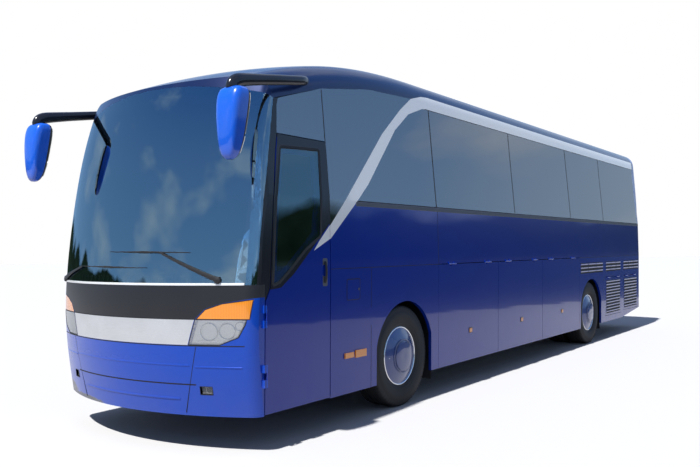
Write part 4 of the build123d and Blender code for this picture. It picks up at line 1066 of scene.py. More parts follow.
@dataclass
class Flanks:
    """Gaskets, belt strips, seams, filler flap with its lock, flap markers, louvres and stripe tips."""

    louvres: tuple[tuple[float, float, float, float], ...] = (
        (axle(-7.821), axle(-6.886), 0.4, 1.08), (axle(-8.98), axle(-8.02), 0.43, 1.08),
    )
    upper_sections: int = 3
    upper_z: tuple[float, float] = (1.194, 1.37)
    upper_pitch: float = 0.045
    door_pitch: float = 0.052
    filler_box: tuple[float, float, float, float] = (axle(0.824), axle(1.037), 1.163, 1.357)
    lock_radius: float = 0.011
    bays: tuple[float, ...] = (-0.722, -2.313, -3.856, -5.48)
    marker_z: float = 0.65
    belt_z: float = 2.068
    upper_rows: tuple[tuple[float, float], ...] = ((-6.738, -5.53), (-7.82, -6.885), (-9.056, -7.987))

    def gaskets(self, side: int) -> list[Form]:
        """Upright joints between the panes and their lower edge."""
        joint = strip_profile(0.016, 0.0015)
        forms = [SHELL.flank_strip([(x, BELT_Z), (x, GLASS_TOP)], joint, side) for x in PANE_SEAMS]
        forms.append(
            SHELL.flank_strip(
                [(DOOR_REAR + 0.004, 1.86), (DOOR_REAR + 0.004, 3.1)], strip_profile(0.01, 0.0015), side,
            )
        )
        forms.append(
            SHELL.flank_strip(
                [(REAR_SEAM, BELT_Z), (axle(0.845), BELT_Z)], strip_profile(0.01, 0.002), side,
            )
        )
        return forms

    def seams(self, side: int) -> list[Form]:
        """Panel joints that are drawn by a dark line."""
        thin = strip_profile(0.006, 0.0008)
        lines = [
            [(DOOR_REAR, WAIST_Z), (axle(-0.72), WAIST_Z)], [(axle(0.63), 1.07), (axle(0.63), WAIST_Z)],
            [(axle(0.63), 0.3), (axle(0.63), 0.9)],
            [(axle(-0.722), WAIST_Z), (axle(-0.722), BELT_Z - 0.03)],
            [(axle(-5.48), WAIST_Z), (REAR_SEAM, WAIST_Z)], [(REAR_SEAM, 0.42), (REAR_SEAM, STRIPE_TOP)],
            [(axle(-5.48), 0.4), (axle(-5.48), 0.55)],
        ]
        return [SHELL.flank_strip(line, thin, side) for line in lines]

    def filler(self, side: int) -> tuple[Form, Form, Form]:
        """Filler flap: a plate in a dark gap, with a lock."""
        x0, x1, z0, z1 = self.filler_box
        loop = rounded([(x0, z0), (x1, z0), (x1, z1), (x0, z1)], 0.018)
        gap = SHELL.flank_strip(np.vstack([loop, loop[:1]]), strip_profile(0.007, 0.0012), side, step=0.02)
        centre = loop.mean(axis=0)
        plate = SHELL.flank_slab(centre + (loop - centre) * 0.955, side, -0.003, 0.002)
        a = np.linspace(0, 2 * math.pi, 24, endpoint=False)
        middle = np.array((x1 - 0.19, (z0 + z1) / 2))
        disc = middle + self.lock_radius * np.stack([np.cos(a), np.sin(a)], -1)
        return gap, plate, SHELL.flank_slab(disc, side, 0.0, 0.006)

    def markers(self, name: str, side: int) -> None:
        """Amber marker in a bright frame on each luggage flap."""
        for i, (front, rear) in enumerate(zip(self.bays, self.bays[1:] if side > 0 else self.bays[1:3])):
            x = axle((front + rear) / 2)
            for part, finish, w, h, out in (
                ("frame", GREY_TRIM, 0.045, 0.034, 0.004), ("lens", AMBER, 0.033, 0.024, 0.008),
            ):
                low, high = self.marker_z - h, self.marker_z + h
                loop = rounded([(x - w, low), (x + w, low), (x + w, high), (x - w, high)], 0.009)
                piece(
                    f"flap_marker_{part}_{name}_{i + 1}", SHELL.flank_slab(loop, side, 0.0, out), finish,
                    f"luggage_flap_{name}_{i + 1}", bevel=0.001,
                )

    def slats(
        self, side: int, x0: float, x1: float, z0: float, z1: float, pitch: float, sections: int = 1,
    ) -> tuple[Form, Form]:
        """Slanted slats over a dark field, between limits.

        Each slat is a bar whose section leans outwards and down: a parallelogram swept along X.
        """
        count = int((z1 - z0) / pitch)
        heights = z0 + (np.arange(count) + 0.5) * (z1 - z0) / count
        width = (x1 - x0) / sections
        section = np.array(
            [(-0.004, -0.001), (0.004, -0.001), (0.016, 0.007), (0.012, 0.011), (-0.006, 0.002)]
        ) * (0.9, 0.6)
        forms = []
        for i in range(sections):
            ends = (x0 + i * width + 0.012, x0 + (i + 1) * width - 0.012)
            forms += [
                SHELL.flank_strip(
                    [(ends[0], z), (ends[1], z)] if side > 0 else [(ends[1], z), (ends[0], z)], section,
                    side,
                )
                for z in heights
            ]
        field = SHELL.flank_slab(
            np.array([(x0 + 0.012, z0), (x1 - 0.012, z0), (x1 - 0.012, z1), (x0 + 0.012, z1)]), side,
            -0.003, 0.0006,
        )
        return Form.joined(forms), field

    def build(self) -> None:
        """Make every flank piece on both sides."""
        gaskets, seams, belts, tips, gaps, plates, locks = [], [], [], [], [], [], []
        for name, side in SIDES:
            gaskets += self.gaskets(side)
            seams += self.seams(side)
            belt = strip_profile(0.04, 0.004)
            belts.append(
                SHELL.flank_strip([(REAR_SEAM, self.belt_z), (axle(0.87), self.belt_z)], belt, side)
            )
            belts.append(
                SHELL.flank_strip(
                    [(REAR_SEAM, GLASS_TOP), (axle(-0.62), GLASS_TOP)], strip_profile(0.008, 0.003), side,
                )
            )
            gap, plate, lock = self.filler(side)
            gaps.append(gap)
            plates.append(plate)
            locks.append(lock)
            self.markers(name, side)
            fields, slats = [], []
            for rear, front in self.upper_rows:
                slat, dark = self.slats(
                    side, axle(rear), axle(front), *self.upper_z, self.upper_pitch, self.upper_sections,
                )
                slats.append(slat)
                fields.append(dark)
            piece(f"upper_louvres_{name}", Form.joined(slats), PAINT)
            piece(f"upper_louvre_fields_{name}", Form.joined(fields), SEAM, smooth=False)
            for i, (x0, x1, z0, z1) in enumerate(self.louvres):
                body = f"louvre_door_{name}_{i + 1}"
                slat, dark = self.slats(side, x0 + 0.03, x1 - 0.03, z0 + 0.04, z1 - 0.05, self.door_pitch)
                piece(f"louvre_slats_{name}_{i + 1}", slat, PAINT, body)
                piece(f"louvre_field_{name}_{i + 1}", dark, SEAM, body, smooth=False)
            tip = np.array(
                [
                    (DOOR_REAR + 0.011, 1.854), (DOOR_REAR + 0.011, 1.732), (axle(1.527), 1.629),
                    (axle(1.45), 1.712),
                ]
            )
            tips.append((name, SHELL.flank_slab(tip[::side], side, -0.004, 0.002)))
        piece("pane_gaskets", Form.joined(gaskets), MATTE)
        piece("flank_seams", Form.joined(seams), SEAM)
        piece("belt_strips", Form.joined(belts), GREY_TRIM)
        piece("filler_gaps", Form.joined(gaps), SEAM)
        piece("filler_flaps", Form.joined(plates), PAINT, bevel=0.001)
        piece("flank_locks", Form.joined(locks), GREY_TRIM, bevel=0.001)
        for name, tip in tips:
            piece(
                f"stripe_tip_{name}", tip, SILVER, "driver_door" if name == "left" else ROOT, bevel=0.0008,
            )


@dataclass
class DriverDoor:
    """Handle, window gasket and window frame of the driver's door, and the same window on the right."""

    window: tuple[tuple[float, float], ...] = (
        (1.425, 1.758), (1.64, 1.64), (1.84, 1.48), (1.99, 1.37), (2.075, 1.345), (2.055, 1.64),
        (2.02, 2.05), (1.927, 2.506), (1.393, 2.529),
    )

    frame: tuple[tuple[float, float], ...] = (
        (1.2925, 1.875), (1.61, 1.6), (1.82, 1.425), (1.975, 1.325), (2.1045, 1.315), (2.088, 1.56),
        (2.0505, 2.05), (1.948, 2.612), (1.2925, 2.612),
    )

    def loop(self, corners: tuple[tuple[float, float], ...], cells: int = 8) -> np.ndarray:
        """Closed loop with the same number of points on every edge."""
        start = np.array([(axle(x), z) for x, z in corners])
        share = np.linspace(0, 1, cells, endpoint=False)[None, :, None]
        return (start[:, None] * (1 - share) + np.roll(start, -1, axis=0)[:, None] * share).reshape(-1, 2)

    def build(self) -> None:
        """Make gaskets and frames on both sides, and the handle in its well on the left."""
        line = np.array([(axle(x), z) for x, z in self.window])
        loop = rounded(line, 0.03)
        loop = np.vstack([loop, loop[:1]])
        for name, side in SIDES:
            body = "driver_door" if side > 0 else ROOT
            piece(
                f"door_gasket_{name}",
                SHELL.flank_strip(loop, strip_profile(0.028, 0.004), side, step=0.04), MATTE, body,
            )
        for name, side in SIDES:
            body = "driver_door" if side > 0 else ROOT
            inside, outside = self.loop(self.window), self.loop(self.frame)
            section = ((inside, -0.003), (inside, 0.003), (outside, 0.003), (outside, -0.003))
            rows = [SHELL.flank(line, side, out) for line, out in section]
            piece(
                f"door_frame_{name}", Form.grid(np.stack(rows), wrap_rows=True, wrap_cols=True), GLOSS,
                body,
            )
        well = rounded(
            [(axle(1.335), 1.31), (axle(1.405), 1.31), (axle(1.405), 1.56), (axle(1.335), 1.56)], 0.02,
        )
        piece("door_handle_well", SHELL.flank_slab(well, 1, -0.004, 0.001), GREY_TRIM, "driver_door")
        grip = np.array([(axle(1.37), 1.34), (axle(1.37), 1.53)])
        path = SHELL.flank(spread(grip, 0.01), 1, 0.0)
        share = np.linspace(0, 1, len(path))
        path[:, 1] += 0.016 * np.sin(math.pi * share) ** 0.5
        piece(
            "door_handle", Form.sweep(path, (0, 1, 0), round_profile(0.009, 10) * (1.5, 0.7)), MATTE,
            "driver_door",
        )


@dataclass
class Mirrors:
    """Moulded heads with glass, and the arms as tapering fairings.

    Each level of a head is (z, rear x, front x, inner y, outer y) and each point of an arm (x, y, z), X from
    the front axle.
    """

    softness: float = 0.55

    levels: tuple[tuple[float, float, float, float, float], ...] = (
        (2.327, 2.575, 2.606, 1.285, 1.335), (2.345, 2.545, 2.628, 1.255, 1.362),
        (2.39, 2.52, 2.642, 1.23, 1.382), (2.48, 2.492, 2.652, 1.212, 1.4),
        (2.62, 2.468, 2.656, 1.196, 1.415), (2.75, 2.446, 2.65, 1.187, 1.424),
        (2.83, 2.436, 2.634, 1.187, 1.424), (2.875, 2.445, 2.61, 1.195, 1.416),
        (2.893, 2.47, 2.58, 1.22, 1.39), (2.899, 2.5, 2.55, 1.25, 1.36),
    )
    arm: tuple[tuple[float, float, float], ...] = (
        (1.43, 1.13, 3.16), (1.6, 1.262, 3.115), (1.95, 1.29, 3.055), (2.3, 1.3, 2.995),
        (2.54, 1.303, 2.95), (2.575, 1.303, 2.86),
    )

    def shell(self, share: float, grow: float) -> Form:
        """Part of a head, from its front back to a share of its depth.

        Each level is a superellipse: the signed power softness of cosine and sine, over its depth and width.
        """
        z, rear, front, inner, outer = np.array(self.levels).T[:, :, None]
        a = np.linspace(0, 2 * math.pi, 48, endpoint=False)[None]
        along = np.sign(np.cos(a)) * np.abs(np.cos(a)) ** self.softness
        across = np.sign(np.sin(a)) * np.abs(np.sin(a)) ** self.softness
        depth = (front - rear) / 2
        along = np.maximum(along, 1 - 2 * share)
        x = FRONT_AXLE + (front + rear) / 2 + along * (depth + grow)
        y = (inner + outer) / 2 + across * ((outer - inner) / 2 + grow)
        return Form.grid(np.stack([x, y, z + 0 * a], -1), wrap_cols=True, ends=True)

    def glass(self) -> Form:
        """Two mirror panes that follow the back of a head, one over the other.

        The back is the superellipse of shell(), with n = softness: across = t gives
        along = -(1 - t^(2 / n))^(n / 2).
        """
        forms = []
        z, rear, front, inner, outer = np.array(self.levels).T
        t = np.linspace(-0.8, 0.8, 11)[None]
        for z0, z1 in ((2.53, 2.85), (2.38, 2.51)):
            heights = np.linspace(z0, z1, 12)
            r, f, a, b = (np.interp(heights, z, v)[:, None] for v in (rear, front, inner, outer))
            x = FRONT_AXLE + (r + f) / 2 - (f - r) / 2 * (
                1 - np.abs(t) ** (2 / self.softness)
            ) ** (self.softness / 2)
            sheet = np.stack([x, (a + b) / 2 + t * (b - a) / 2, heights[:, None] + 0 * t], -1)
            forms.append(
                Form.grid(
                    np.concatenate([sheet - (0.0015, 0, 0), sheet[::-1] + (0.004, 0, 0)]), wrap_rows=True,
                )
            )
        return Form.joined(forms)

    def build(self) -> None:
        """Make heads, backs, glasses and arms."""
        blue, black, glass, arms = [], [], [], []
        line = rounded(np.array(self.arm) + (FRONT_AXLE, 0, 0), 0.11, 7, closed=False)
        share = np.linspace(0, 1, len(line))
        facing = np.where(share[:, None] < 0.9, (0, 0, 1.0), (1.0, 0, 0))
        width = np.interp(share, (0, 0.12, 0.5, 0.85, 1), (0.03, 0.042, 0.046, 0.056, 0.05))
        for _, side in SIDES:
            blue.append(self.shell(0.74, 0.0).on_side(side))
            black.append(self.shell(1.0, -0.003).on_side(side))
            glass.append(self.glass().on_side(side))
            arms.append(tapered(line, facing, round_profile(1.0, 16) * (0.8, 1.0), width).on_side(side))
        heads = piece("mirror_shells", Form.joined(blue), COVER_BLUE, subdivide=1)
        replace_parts(heads, "mirror_heads")
        piece("mirror_backs", Form.joined(black), MATTE, subdivide=1)
        piece("mirror_glass", Form.joined(glass), CHROME, smooth=False)
        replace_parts(piece("mirror_fairings", Form.joined(arms), GLOSS, subdivide=1), "mirror_arms")


@dataclass
class Wipers:
    """Two parked wipers: capped pivot, tapering arm, and a blade in its holder.

    Each set is pivot, knee and the blade's two ends, in Y and Z on the windscreen.
    """

    sets: tuple[tuple[tuple[float, float], ...], ...] = (
        ((0.989, 1.4), (0.449, 1.634), (-0.136, 1.64), (0.741, 1.626)),
        ((-1.19, 1.388), (-0.62, 1.512), (-0.64, 1.516), (0.325, 1.502)),
    )

    def strip(self, a, b, section: np.ndarray, out: np.ndarray, width: np.ndarray) -> Form:
        """Bar along the glass from a to b, lifted by out and scaled by width along its length."""
        share = np.linspace(0, 1, 24)[:, None]
        yz = np.array(a) * (1 - share) + np.array(b) * share
        normal = SHELL.nose_normal(yz)
        at = np.linspace(0, 1, len(out))
        lift = np.interp(share[:, 0], at, out)
        path = SHELL.nose(yz) + normal * lift[:, None]
        return tapered(path, normal, section, np.interp(share[:, 0], np.linspace(0, 1, len(width)), width))

    def build(self) -> None:
        """Make arms with pivots, and blades with holders."""
        flat = rounded(np.array([(-1.0, -0.35), (1.0, -0.35), (1.0, 0.35), (-1.0, 0.35)]), 0.2, 3)
        arms, blades = [], []
        for pivot, knee, tip_a, tip_b in self.sets:
            arms.append(
                self.strip(
                    pivot, knee, flat, np.array((0.012, 0.018, 0.016)),
                    np.array((0.021, 0.016, 0.011, 0.008)),
                )
            )
            middle = np.mean([tip_a, tip_b], axis=0)
            for end in (tip_a, tip_b):
                half = middle + (np.array(end) - middle) * 0.55
                arms.append(
                    self.strip(middle, half, flat, np.array((0.016, 0.01)), np.array((0.009, 0.006, 0.004)))
                )
            blades.append(
                self.strip(
                    tip_a, tip_b, flat[:, ::-1], np.full(2, 0.006), np.array((0.006, 0.013, 0.013, 0.006)),
                )
            )
            foot, out = SHELL.nose(np.array([pivot]))[0], SHELL.nose_normal(np.array([pivot]))[0]
            cap = Form.turned(
                np.array([(-0.004, 0.003), (-0.004, 0.03), (0.012, 0.03), (0.022, 0.024), (0.026, 0.003)]),
                (0, 0, 0), 28,
            )
            turn = Vector((0, 1, 0)).rotation_difference(Vector(out)).to_matrix().to_4x4()
            arms.append(cap.placed(Matrix.Translation(Vector(foot)) @ turn))
        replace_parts(piece("wiper_arms", Form.joined(arms), MATTE), "wipers")
        piece("wiper_blades", Form.joined(blades), RUBBER)


@dataclass
class Seats:
    """Padded seats: cushion, back and head pad of each place, with legs and shells.

    Args:
        places: Y of the two places of a double seat.
        width: Width of a passenger's place.
        driver_width: Width of the driver's seat.
        middle: Y of the middle of a double seat.
        shells: Inner Y of the two back shells.
        shell_width: Width of a back shell.
        lean: How far a back leans.
        softness: Power that rounds the pads.
    """

    places: tuple[float, float] = (0.455, 0.925)
    width: float = 0.45
    driver_width: float = 0.47
    middle: float = 0.69
    shells: tuple[float, float] = (0.235, 0.705)
    shell_width: float = 0.44
    lean: float = math.radians(-14.5)
    softness: float = 0.38

    def pad(self, centre, size, lean: float, crown: float, cells: int = 10) -> Form:
        """Crowned closed pad.

        A superellipsoid: each axis is the signed power softness of sine and cosine, so it is a soft block
        whose faces bulge by crown and whose sides pull in between the corners.
        """
        u = np.linspace(-math.pi / 2, math.pi / 2, cells + 2)[:, None]
        v = np.linspace(-math.pi, math.pi, 4 * cells, endpoint=False)[None]

        def power(a):
            return np.sign(a) * np.abs(a) ** self.softness

        x = power(np.cos(u)) * power(np.cos(v))
        y = power(np.cos(u)) * power(np.sin(v))
        z = power(np.sin(u)) + 0 * v
        bulge = 1 + crown * np.cos(x * math.pi / 2) * np.cos(y * math.pi / 2)
        points = np.stack([x * size[0] / 2, y * size[1] / 2, z * bulge * size[2] / 2], -1)
        form = Form.grid(points, wrap_cols=True)
        return form.placed(Matrix.Translation(centre) @ Matrix.Rotation(lean, 4, "Y"))

    def place(self, x: float, y: float, width: float, floor: float) -> tuple[list[Form], list[Form]]:
        """Pads and head pad of one seat whose reference point is at x."""
        pads = [
            self.pad((x + 0.2, y, floor + 0.405), (0.45, width - 0.02, 0.11), math.radians(-3), 0.25),
            self.pad((x + 0.405, y, floor + 0.4), (0.1, width - 0.05, 0.1), 0.0, 0.1),
            self.pad((x - 0.035, y, floor + 0.72), (0.1, width - 0.03, 0.58), self.lean, 0.0),
            self.pad((x - 0.005, y + width * 0.38, floor + 0.7), (0.11, 0.075, 0.48), self.lean, 0.0, 6),
            self.pad((x - 0.005, y - width * 0.38, floor + 0.7), (0.11, 0.075, 0.48), self.lean, 0.0, 6),
        ]
        heads = [self.pad((x - 0.118, y, floor + 1.05), (0.085, width * 0.62, 0.16), self.lean, 0.0, 8)]
        return pads, heads

    def build(self) -> None:
        """Make the saloon's double seats and the driver's seat."""
        pads, heads, legs, shells = [], [], [], []
        for row in range(SEAT_ROWS):
            x = SEAT_FIRST_X - row * SEAT_PITCH
            for side in (1, -1):
                for y in self.places:
                    p, h = self.place(x, side * y, self.width, DECK_Z)
                    pads += p
                    heads += h
                mid = side * self.middle
                legs.append(
                    Form.block((x + 0.08, x + 0.34), (mid - 0.3, mid + 0.3), (DECK_Z + 0.3, DECK_Z + 0.342))
                )
                legs += [
                    Form.block(
                        (x + 0.1, x + 0.32), (mid + w - 0.02, mid + w + 0.02),
                        (DECK_Z + 0.001, DECK_Z + 0.31),
                    )
                    for w in (-0.25, 0.25)
                ]
                back = np.array(
                    [
                        (x - 0.02, 0.36), (x - 0.075, 0.36), (x - 0.168, 1.08), (x - 0.14, 1.1),
                        (x - 0.105, 1.08),
                    ]
                )
                for y0 in self.shells:
                    outline = np.stack([back[:, 0], np.full(5, side * y0), DECK_Z + back[:, 1]], -1)
                    shells.append(Form.slab(outline, outline + (0, side * self.shell_width, 0)))
        cloth = piece("passenger_cushions", Form.joined(pads), FABRIC)
        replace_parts(cloth, "seat_cushions", "seat_backs")
        piece("passenger_head_pads", Form.joined(heads), HEADREST)
        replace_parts(piece("seat_legs", Form.joined(legs), ALUMINIUM, bevel=0.004), "seat_frames")
        piece("seat_shells", Form.joined(shells), GREY, bevel=0.008)
        p, h = self.place(DRIVER_X, DRIVER_Y, self.driver_width, CAB_Z)
        driver = piece("driver_cushions", Form.joined(p + h), FABRIC, subdivide=1)
        base = Form.joined([
            Form.block(
                (DRIVER_X + 0.08, DRIVER_X + 0.33), (DRIVER_Y - 0.14, DRIVER_Y + 0.14),
                (CAB_Z + 0.001, CAB_Z + 0.3),
            ),
            Form.block(
                (DRIVER_X + 0.03, DRIVER_X + 0.4), (DRIVER_Y - 0.2, DRIVER_Y + 0.2),
                (CAB_Z + 0.3, CAB_Z + 0.345),
            ),
        ])
        piece("driver_pedestal", base, GREY, bevel=0.01)


@dataclass
class Cab:
    """Steering wheel, dashboard top, instrument hood, dials, vents and screen blind."""

    radius: float = 0.225
    dash_z: float = 1.4
    hood_half: float = 0.26

    def matrix(self) -> Matrix:
        """Places a form made flat at the origin on the steering wheel's plane."""
        return Matrix.Translation(WHEEL_AT) @ Matrix.Rotation(-WHEEL_TILT, 4, "Y")

    def wheel(self) -> None:
        """Rim with a padded grip, three flat spokes and a hub pad."""
        a = np.linspace(0, 2 * math.pi, 96, endpoint=False)
        rim = np.stack([self.radius * np.cos(a), self.radius * np.sin(a), 0 * a], -1)
        grip = round_profile(0.016, 14)
        grip = grip * (1 + 0.05 * np.cos(3 * np.arctan2(grip[:, 1], grip[:, 0])))[:, None]
        forms = [Form.sweep(rim, (0, 0, 1), grip, closed=True)]
        t = np.linspace(0, 1, 12)
        for turn in (0, 120, 240):
            path = np.stack([0.03 + 0.185 * t, 0 * t, -0.02 + 0.018 * t**2], -1)
            blade = np.array(
                [
                    (-0.02, -0.005), (0.02, -0.005), (0.02, 0.002), (0.012, 0.006), (-0.012, 0.006),
                    (-0.02, 0.002),
                ]
            )
            forms.append(
                Form.sweep(path, (0, 0, 1), blade).placed(Matrix.Rotation(math.radians(turn), 4, "Z"))
            )
        hub = np.array(
            [
                (-0.031, 0.0001), (-0.031, 0.045), (-0.012, 0.062), (0.004, 0.055), (0.012, 0.03),
                (0.014, 0.0001),
            ]
        )
        cap = Form.turned(hub, (0, 0, 0), 48).placed(Matrix.Rotation(math.radians(90), 4, "X"))
        made = piece("steering_grip", Form.joined(forms).placed(self.matrix()), MATTE, "steering_wheel")
        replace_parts(made, "steering_wheel")
        piece("steering_hub", cap.placed(self.matrix()), GLOSS, "steering_wheel")

    def binnacle(self) -> None:
        """Pale top of the dashboard: a section swept across, swelling in height in front of the driver."""
        y = np.linspace(-1.0, 1.13, 60)
        swell = np.exp(-(((y - DRIVER_Y) / 0.42) ** 4))
        rise = 0.04 + 0.13 * swell
        back = axle(2.06) - 0.03 * swell
        front = self.dash_front(y)
        share = np.array([0.0, 0.0, 0.06, 0.16, 0.4, 0.75, 1.0, 1.0])
        height = np.array([-0.002, 0.6, 0.92, 1.0, 0.9, 0.45, 0.1, -0.002])
        x = back[:, None] + (front - back)[:, None] * share
        z = self.dash_z + rise[:, None] * height
        points = np.stack([x, y[:, None] + 0 * x, z], -1)
        piece("dash_top", Form.grid(points, wrap_cols=True, ends=True), DASH, subdivide=1)

    def dash_front(self, y: np.ndarray) -> np.ndarray:
        """X of the windscreen's inner side at the dashboard's height, less a gap."""
        return SHELL.nose(np.stack([y, np.full_like(y, 1.5)], -1))[:, 0] - 0.07

    def build(self) -> None:
        """Make the wheel, the dashboard's top, hood, dials and vents, and the blind."""
        self.wheel()
        self.binnacle()
        hood_x = (axle(1.98), axle(2.14))
        hood = np.array(
            [
                (hood_x[0], 1.385), (hood_x[0] - 0.02, 1.47), (hood_x[0] + 0.04, 1.5), (hood_x[1], 1.44),
                (hood_x[1], 1.385),
            ]
        )
        outline = np.stack([hood[:, 0], np.full(5, DRIVER_Y - self.hood_half), hood[:, 1]], -1)
        piece("dash_hood", Form.slab(outline, outline + (0, 2 * self.hood_half, 0)), GREY, bevel=0.012)
        face_x = hood_x[0] - 0.012
        dials = []
        for y, r in ((-0.14, 0.05), (0.0, 0.032), (0.14, 0.05)):
            ring = Form.turned(
                np.array([(0.0, r), (-0.006, r - 0.002), (-0.006, r - 0.006), (0.004, r - 0.007)]),
                (0, 0, 0), 32,
            )
            spin = Matrix.Translation(
                (face_x, DRIVER_Y + y, 1.435)
            ) @ Matrix.Rotation(math.radians(-90), 4, "Z") @ Matrix.Diagonal((1, 1, 0.7, 1))
            dials.append(ring.placed(spin))
        piece("dash_dials", Form.joined(dials), BRIGHT, closed=False)
        vents = []
        for y in np.linspace(-0.95, 1.0, 7):
            vents += [
                Form.block(
                    (axle(2.3) + i * 0.012, axle(2.3) + i * 0.012 + 0.005), (y - 0.09, y + 0.09),
                    (1.399, 1.404),
                )
                for i in range(5)
            ]
        piece("dash_vents", Form.joined(vents), MATTE, smooth=False)
        blind = SHELL.nose_strip(
            [(-1.0, 2.72), (1.0, 2.72)],
            np.array([(-0.09, -0.05), (0.09, -0.05), (0.09, -0.045), (-0.09, -0.045)]),
        )
        piece("screen_blind", blind, MATTE)


@dataclass
class Tail:
    """Lamp bezels, lid louvres, bumper strip, plate field and rear window gasket."""

    window_half: float = 1.04
    window_z: tuple[float, float] = (2.15, 3.04)
    lamp_y: tuple[float, float] = (0.955, 1.13)
    lamp_z: tuple[float, float] = (0.88, 1.44)
    lamp_bars: tuple[float, float] = (1.06, 1.25)

    def tail_x(self, y: np.ndarray) -> np.ndarray:
        """X of the tail's skin: an arc of TAIL_R in plan."""
        return TAIL_X + TAIL_R - np.sqrt(TAIL_R**2 - np.asarray(y, float) ** 2)

    def strip(self, yz, profile: np.ndarray, closed: bool = False, out: float = 0.0) -> Form:
        """Strip that follows a line on the tail."""
        line = spread(yz, 0.06)
        path = np.stack([self.tail_x(line[:, 0]) - out, line[:, 0], line[:, 1]], -1)
        return Form.sweep(path, (-1, 0, 0), profile, closed)

    def build(self) -> None:
        """Make the tail's pieces."""
        half = self.window_half
        low, high = self.window_z
        window = rounded([(-half, low), (half, low), (half, high), (-half, high)], 0.05)
        piece("rear_gasket", self.strip(np.vstack([window, window[:1]]), strip_profile(0.02, 0.003)), MATTE)
        bezels = []
        for side in (1, -1):
            inner, outer = (side * y for y in self.lamp_y)
            low, high = self.lamp_z
            lamp = np.array([(inner, low), (outer, low), (outer, high), (inner, high)])
            bezels.append(self.strip(np.vstack([lamp, lamp[:1]]), strip_profile(0.01, 0.003)))
            bezels += [
                self.strip([(0.96 * side, z), (1.125 * side, z)], strip_profile(0.012, 0.003))
                for z in self.lamp_bars
            ]
        piece("tail_bezels", Form.joined(bezels), MATTE)
        slats = [
            self.strip([(-0.7, z), (0.7, z)], np.array([(-0.008, -0.002), (0.008, -0.002), (0.002, 0.004)]))
            for z in np.linspace(0.85, 1.3, 10)
        ]
        piece("lid_louvres", Form.joined(slats), PAINT, "engine_lid")
        plate = self.strip(
            [(-0.27, 0.7), (0.27, 0.7)],
            np.array([(-0.065, -0.002), (0.065, -0.002), (0.065, 0.003), (-0.065, 0.003)]),
        )
        piece("rear_plate_field", plate, SILVER, "engine_lid")
        bar = self.strip([(-1.05, 0.43), (1.05, 0.43)], strip_profile(0.09, 0.004))
        piece("rear_bumper_strip", bar, MATTE)


@dataclass
class Roof:
    """Hatches on the roof."""

    def build(self) -> None:
        """Make two low hatches that sit on the crown."""
        _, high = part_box("roof_shell")
        top = high[2]
        hatches = [
            Form.block((x - 0.35, x + 0.35), (-0.3, 0.3), (top - 0.03, top + 0.03))
            for x in (axle(-2.6), axle(-6.9))
        ]
        piece("roof_hatches", Form.joined(hatches), NAVY, bevel=0.02)


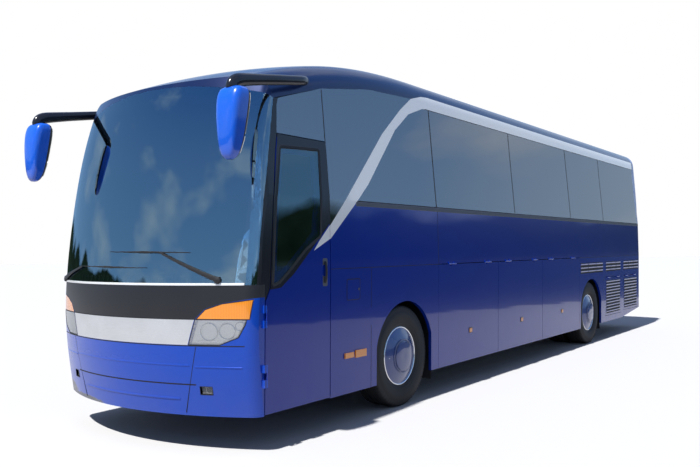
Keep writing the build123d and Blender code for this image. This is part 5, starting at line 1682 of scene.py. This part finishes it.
# ---------------------------------------------------------------- surroundings
@dataclass
class Studio:
    """Camera, sun, sky and floor."""

    position: tuple[float, float, float] = (10.028, 5.347, 1.621)
    yaw: float = math.radians(-144.487)
    pitch: float = math.radians(1.34)
    roll: float = math.radians(-0.758)
    lens: float = 38.5
    sun_from: tuple[float, float, float] = (0.52, 0.004, 0.85)
    sun_energy: float = 5.0
    floor_half: float = 120.0

    def camera(self) -> None:
        """Camera with its axes from yaw, pitch and roll."""
        data = bpy.data.cameras.new("camera")
        data.lens, data.sensor_width = self.lens, 36.0
        data.clip_start, data.clip_end = 0.1, 400.0
        made = bpy.data.objects.new("camera", data)
        bpy.context.scene.collection.objects.link(made)
        ahead = Vector(
            (
                math.cos(self.pitch) * math.cos(self.yaw), math.cos(self.pitch) * math.sin(self.yaw),
                math.sin(self.pitch),
            )
        )
        right = ahead.cross(Vector((0, 0, 1))).normalized()
        up = right.cross(ahead)
        turn_right = math.cos(self.roll) * right + math.sin(self.roll) * up
        turn_up = -math.sin(self.roll) * right + math.cos(self.roll) * up
        made.matrix_world = Matrix.Translation(self.position) @ Matrix(
            (turn_right, turn_up, -ahead)
        ).transposed().to_4x4()
        bpy.context.scene.camera = made

    def sun(self) -> None:
        """High sun from ahead."""
        data = bpy.data.lights.new("sun", "SUN")
        data.energy, data.angle = self.sun_energy, math.radians(1.2)
        data.color = (1.0, 0.97, 0.92)
        made = bpy.data.objects.new("sun", data)
        made.rotation_euler = Vector(self.sun_from).to_track_quat("Z", "Y").to_euler()
        bpy.context.scene.collection.objects.link(made)

    def sky(self) -> None:
        """White for the camera; a clouded sky over a tree line for reflections; the same, dimmed, as fill."""
        world = bpy.data.worlds.new("surroundings")
        bpy.context.scene.world = world
        world.use_nodes = True
        world.node_tree.nodes.clear()
        g = NodeGraph(world.node_tree)
        at = g.add("TexCoord").outputs["Generated"]
        height = g.add("SeparateXYZ", {0: at}).outputs[2]
        blue = g.mix(g.span(height, 0.05, 0.75), (0.36, 0.6, 0.95, 1.0), (0.08, 0.24, 0.66, 1.0))
        clouds = g.span(g.noise(g.stretch(at, (1.0, 1.0, 2.6)), 2.2, 8.0), 0.52, 0.78)
        sky = g.mix(clouds, blue, (0.95, 1.0, 1.08, 1.0))
        crowns = g.math("MULTIPLY_ADD", g.noise(at, 7.0, 7.0), 0.13)
        crowns.node.inputs[2].default_value = 0.0
        above = g.span(g.math("SUBTRACT", height, crowns), -0.01, 0.008)
        trees = g.mix(g.noise(at, 40.0, 4.0), (0.006, 0.014, 0.012, 1.0), (0.05, 0.08, 0.05, 1.0))
        behind = g.span(g.math("MULTIPLY", g.add("SeparateXYZ", {0: at}).outputs[0], -1.0), 0.86, 0.98)
        sky = g.mix(g.math("MULTIPLY", behind, 0.55), sky, (0.85, 1.0, 1.15, 1.0))
        sky = g.mix(above, trees, sky)
        ground = g.span(height, -0.03, 0.0)
        full = g.mix(ground, (0.26, 0.27, 0.31, 1.0), sky)
        rays = g.add("LightPath")
        mirror = g.math("MAXIMUM", rays.outputs["Is Glossy Ray"], rays.outputs["Is Transmission Ray"])
        strength = g.math("MULTIPLY_ADD", mirror, 0.55)
        strength.node.inputs[2].default_value = 0.45
        plain = g.mix(0.55, full, (0.4, 0.42, 0.46, 1.0))
        full = g.mix(mirror, plain, full)
        seen = g.add("Background", {"Color": (1.0, 1.0, 1.0, 1.0), "Strength": 1.0})
        lit = g.add("Background", {"Color": full, "Strength": strength})
        mixed = g.add(
            "MixShader", {0: rays.outputs["Is Camera Ray"], 1: lit.outputs[0], 2: seen.outputs[0]},
        )
        g.add("OutputWorld", {"Surface": mixed.outputs[0]})

    def floor(self) -> None:
        """Pale plain floor."""
        s = self.floor_half
        form = Form(
            np.array([(-s, -s, 0), (s, -s, 0), (s, s, 0), (-s, s, 0)], float), np.array([(0, 1, 2, 3)]),
        )
        mesh = bpy.data.meshes.new("floor")
        mesh.from_pydata(form.points.tolist(), [], form.quads.tolist())
        made = bpy.data.objects.new("floor", mesh)
        bpy.context.scene.collection.objects.link(made)
        mesh.materials.append(
            FloorFinish(
                "floor_pale", (0.68, 0.685, 0.7), 0.9, variation=0.0, scale=3.0, bump=0.0,
            ).material()
        )

    def build(self) -> None:
        """Make all surroundings."""
        self.camera()
        self.sun()
        self.sky()
        self.floor()
        bpy.context.scene.view_settings.view_transform = "Standard"


@dataclass
class Coach:
    """The whole vehicle."""

    nodes: dict
    assemblies: list = field(default_factory=lambda: [
        Wheels(), Headlamps(), Nose(), Flanks(), DriverDoor(), Mirrors(), Wipers(), Seats(), Cab(), Tail(),
        Roof(),
    ])

    def dress(self) -> None:
        """Give each construction node its finish."""
        for finish, names in NODE_FINISH.items():
            for name in names:
                slots = self.nodes[name].material_slots
                for slot in slots:
                    slot.material = finish.material()
                if not len(slots):
                    self.nodes[name].data.materials.append(finish.material())

    def build(self) -> None:
        """Dress the nodes and make every piece."""
        self.dress()
        for part in self.assemblies:
            part.build()
            LOG.info("made %s", type(part).__name__)


def corners(box) -> list[list[float]]:
    """Bounds as plain lists."""
    return [[float(v) for v in corner] for corner in box]


def main() -> None:
    """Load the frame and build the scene."""
    logging.basicConfig(level=logging.INFO, format="%(name)s %(message)s")
    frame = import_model()
    Studio().build()
    Coach(frame["nodes"]).build()


if __name__ == "__main__":
    main()
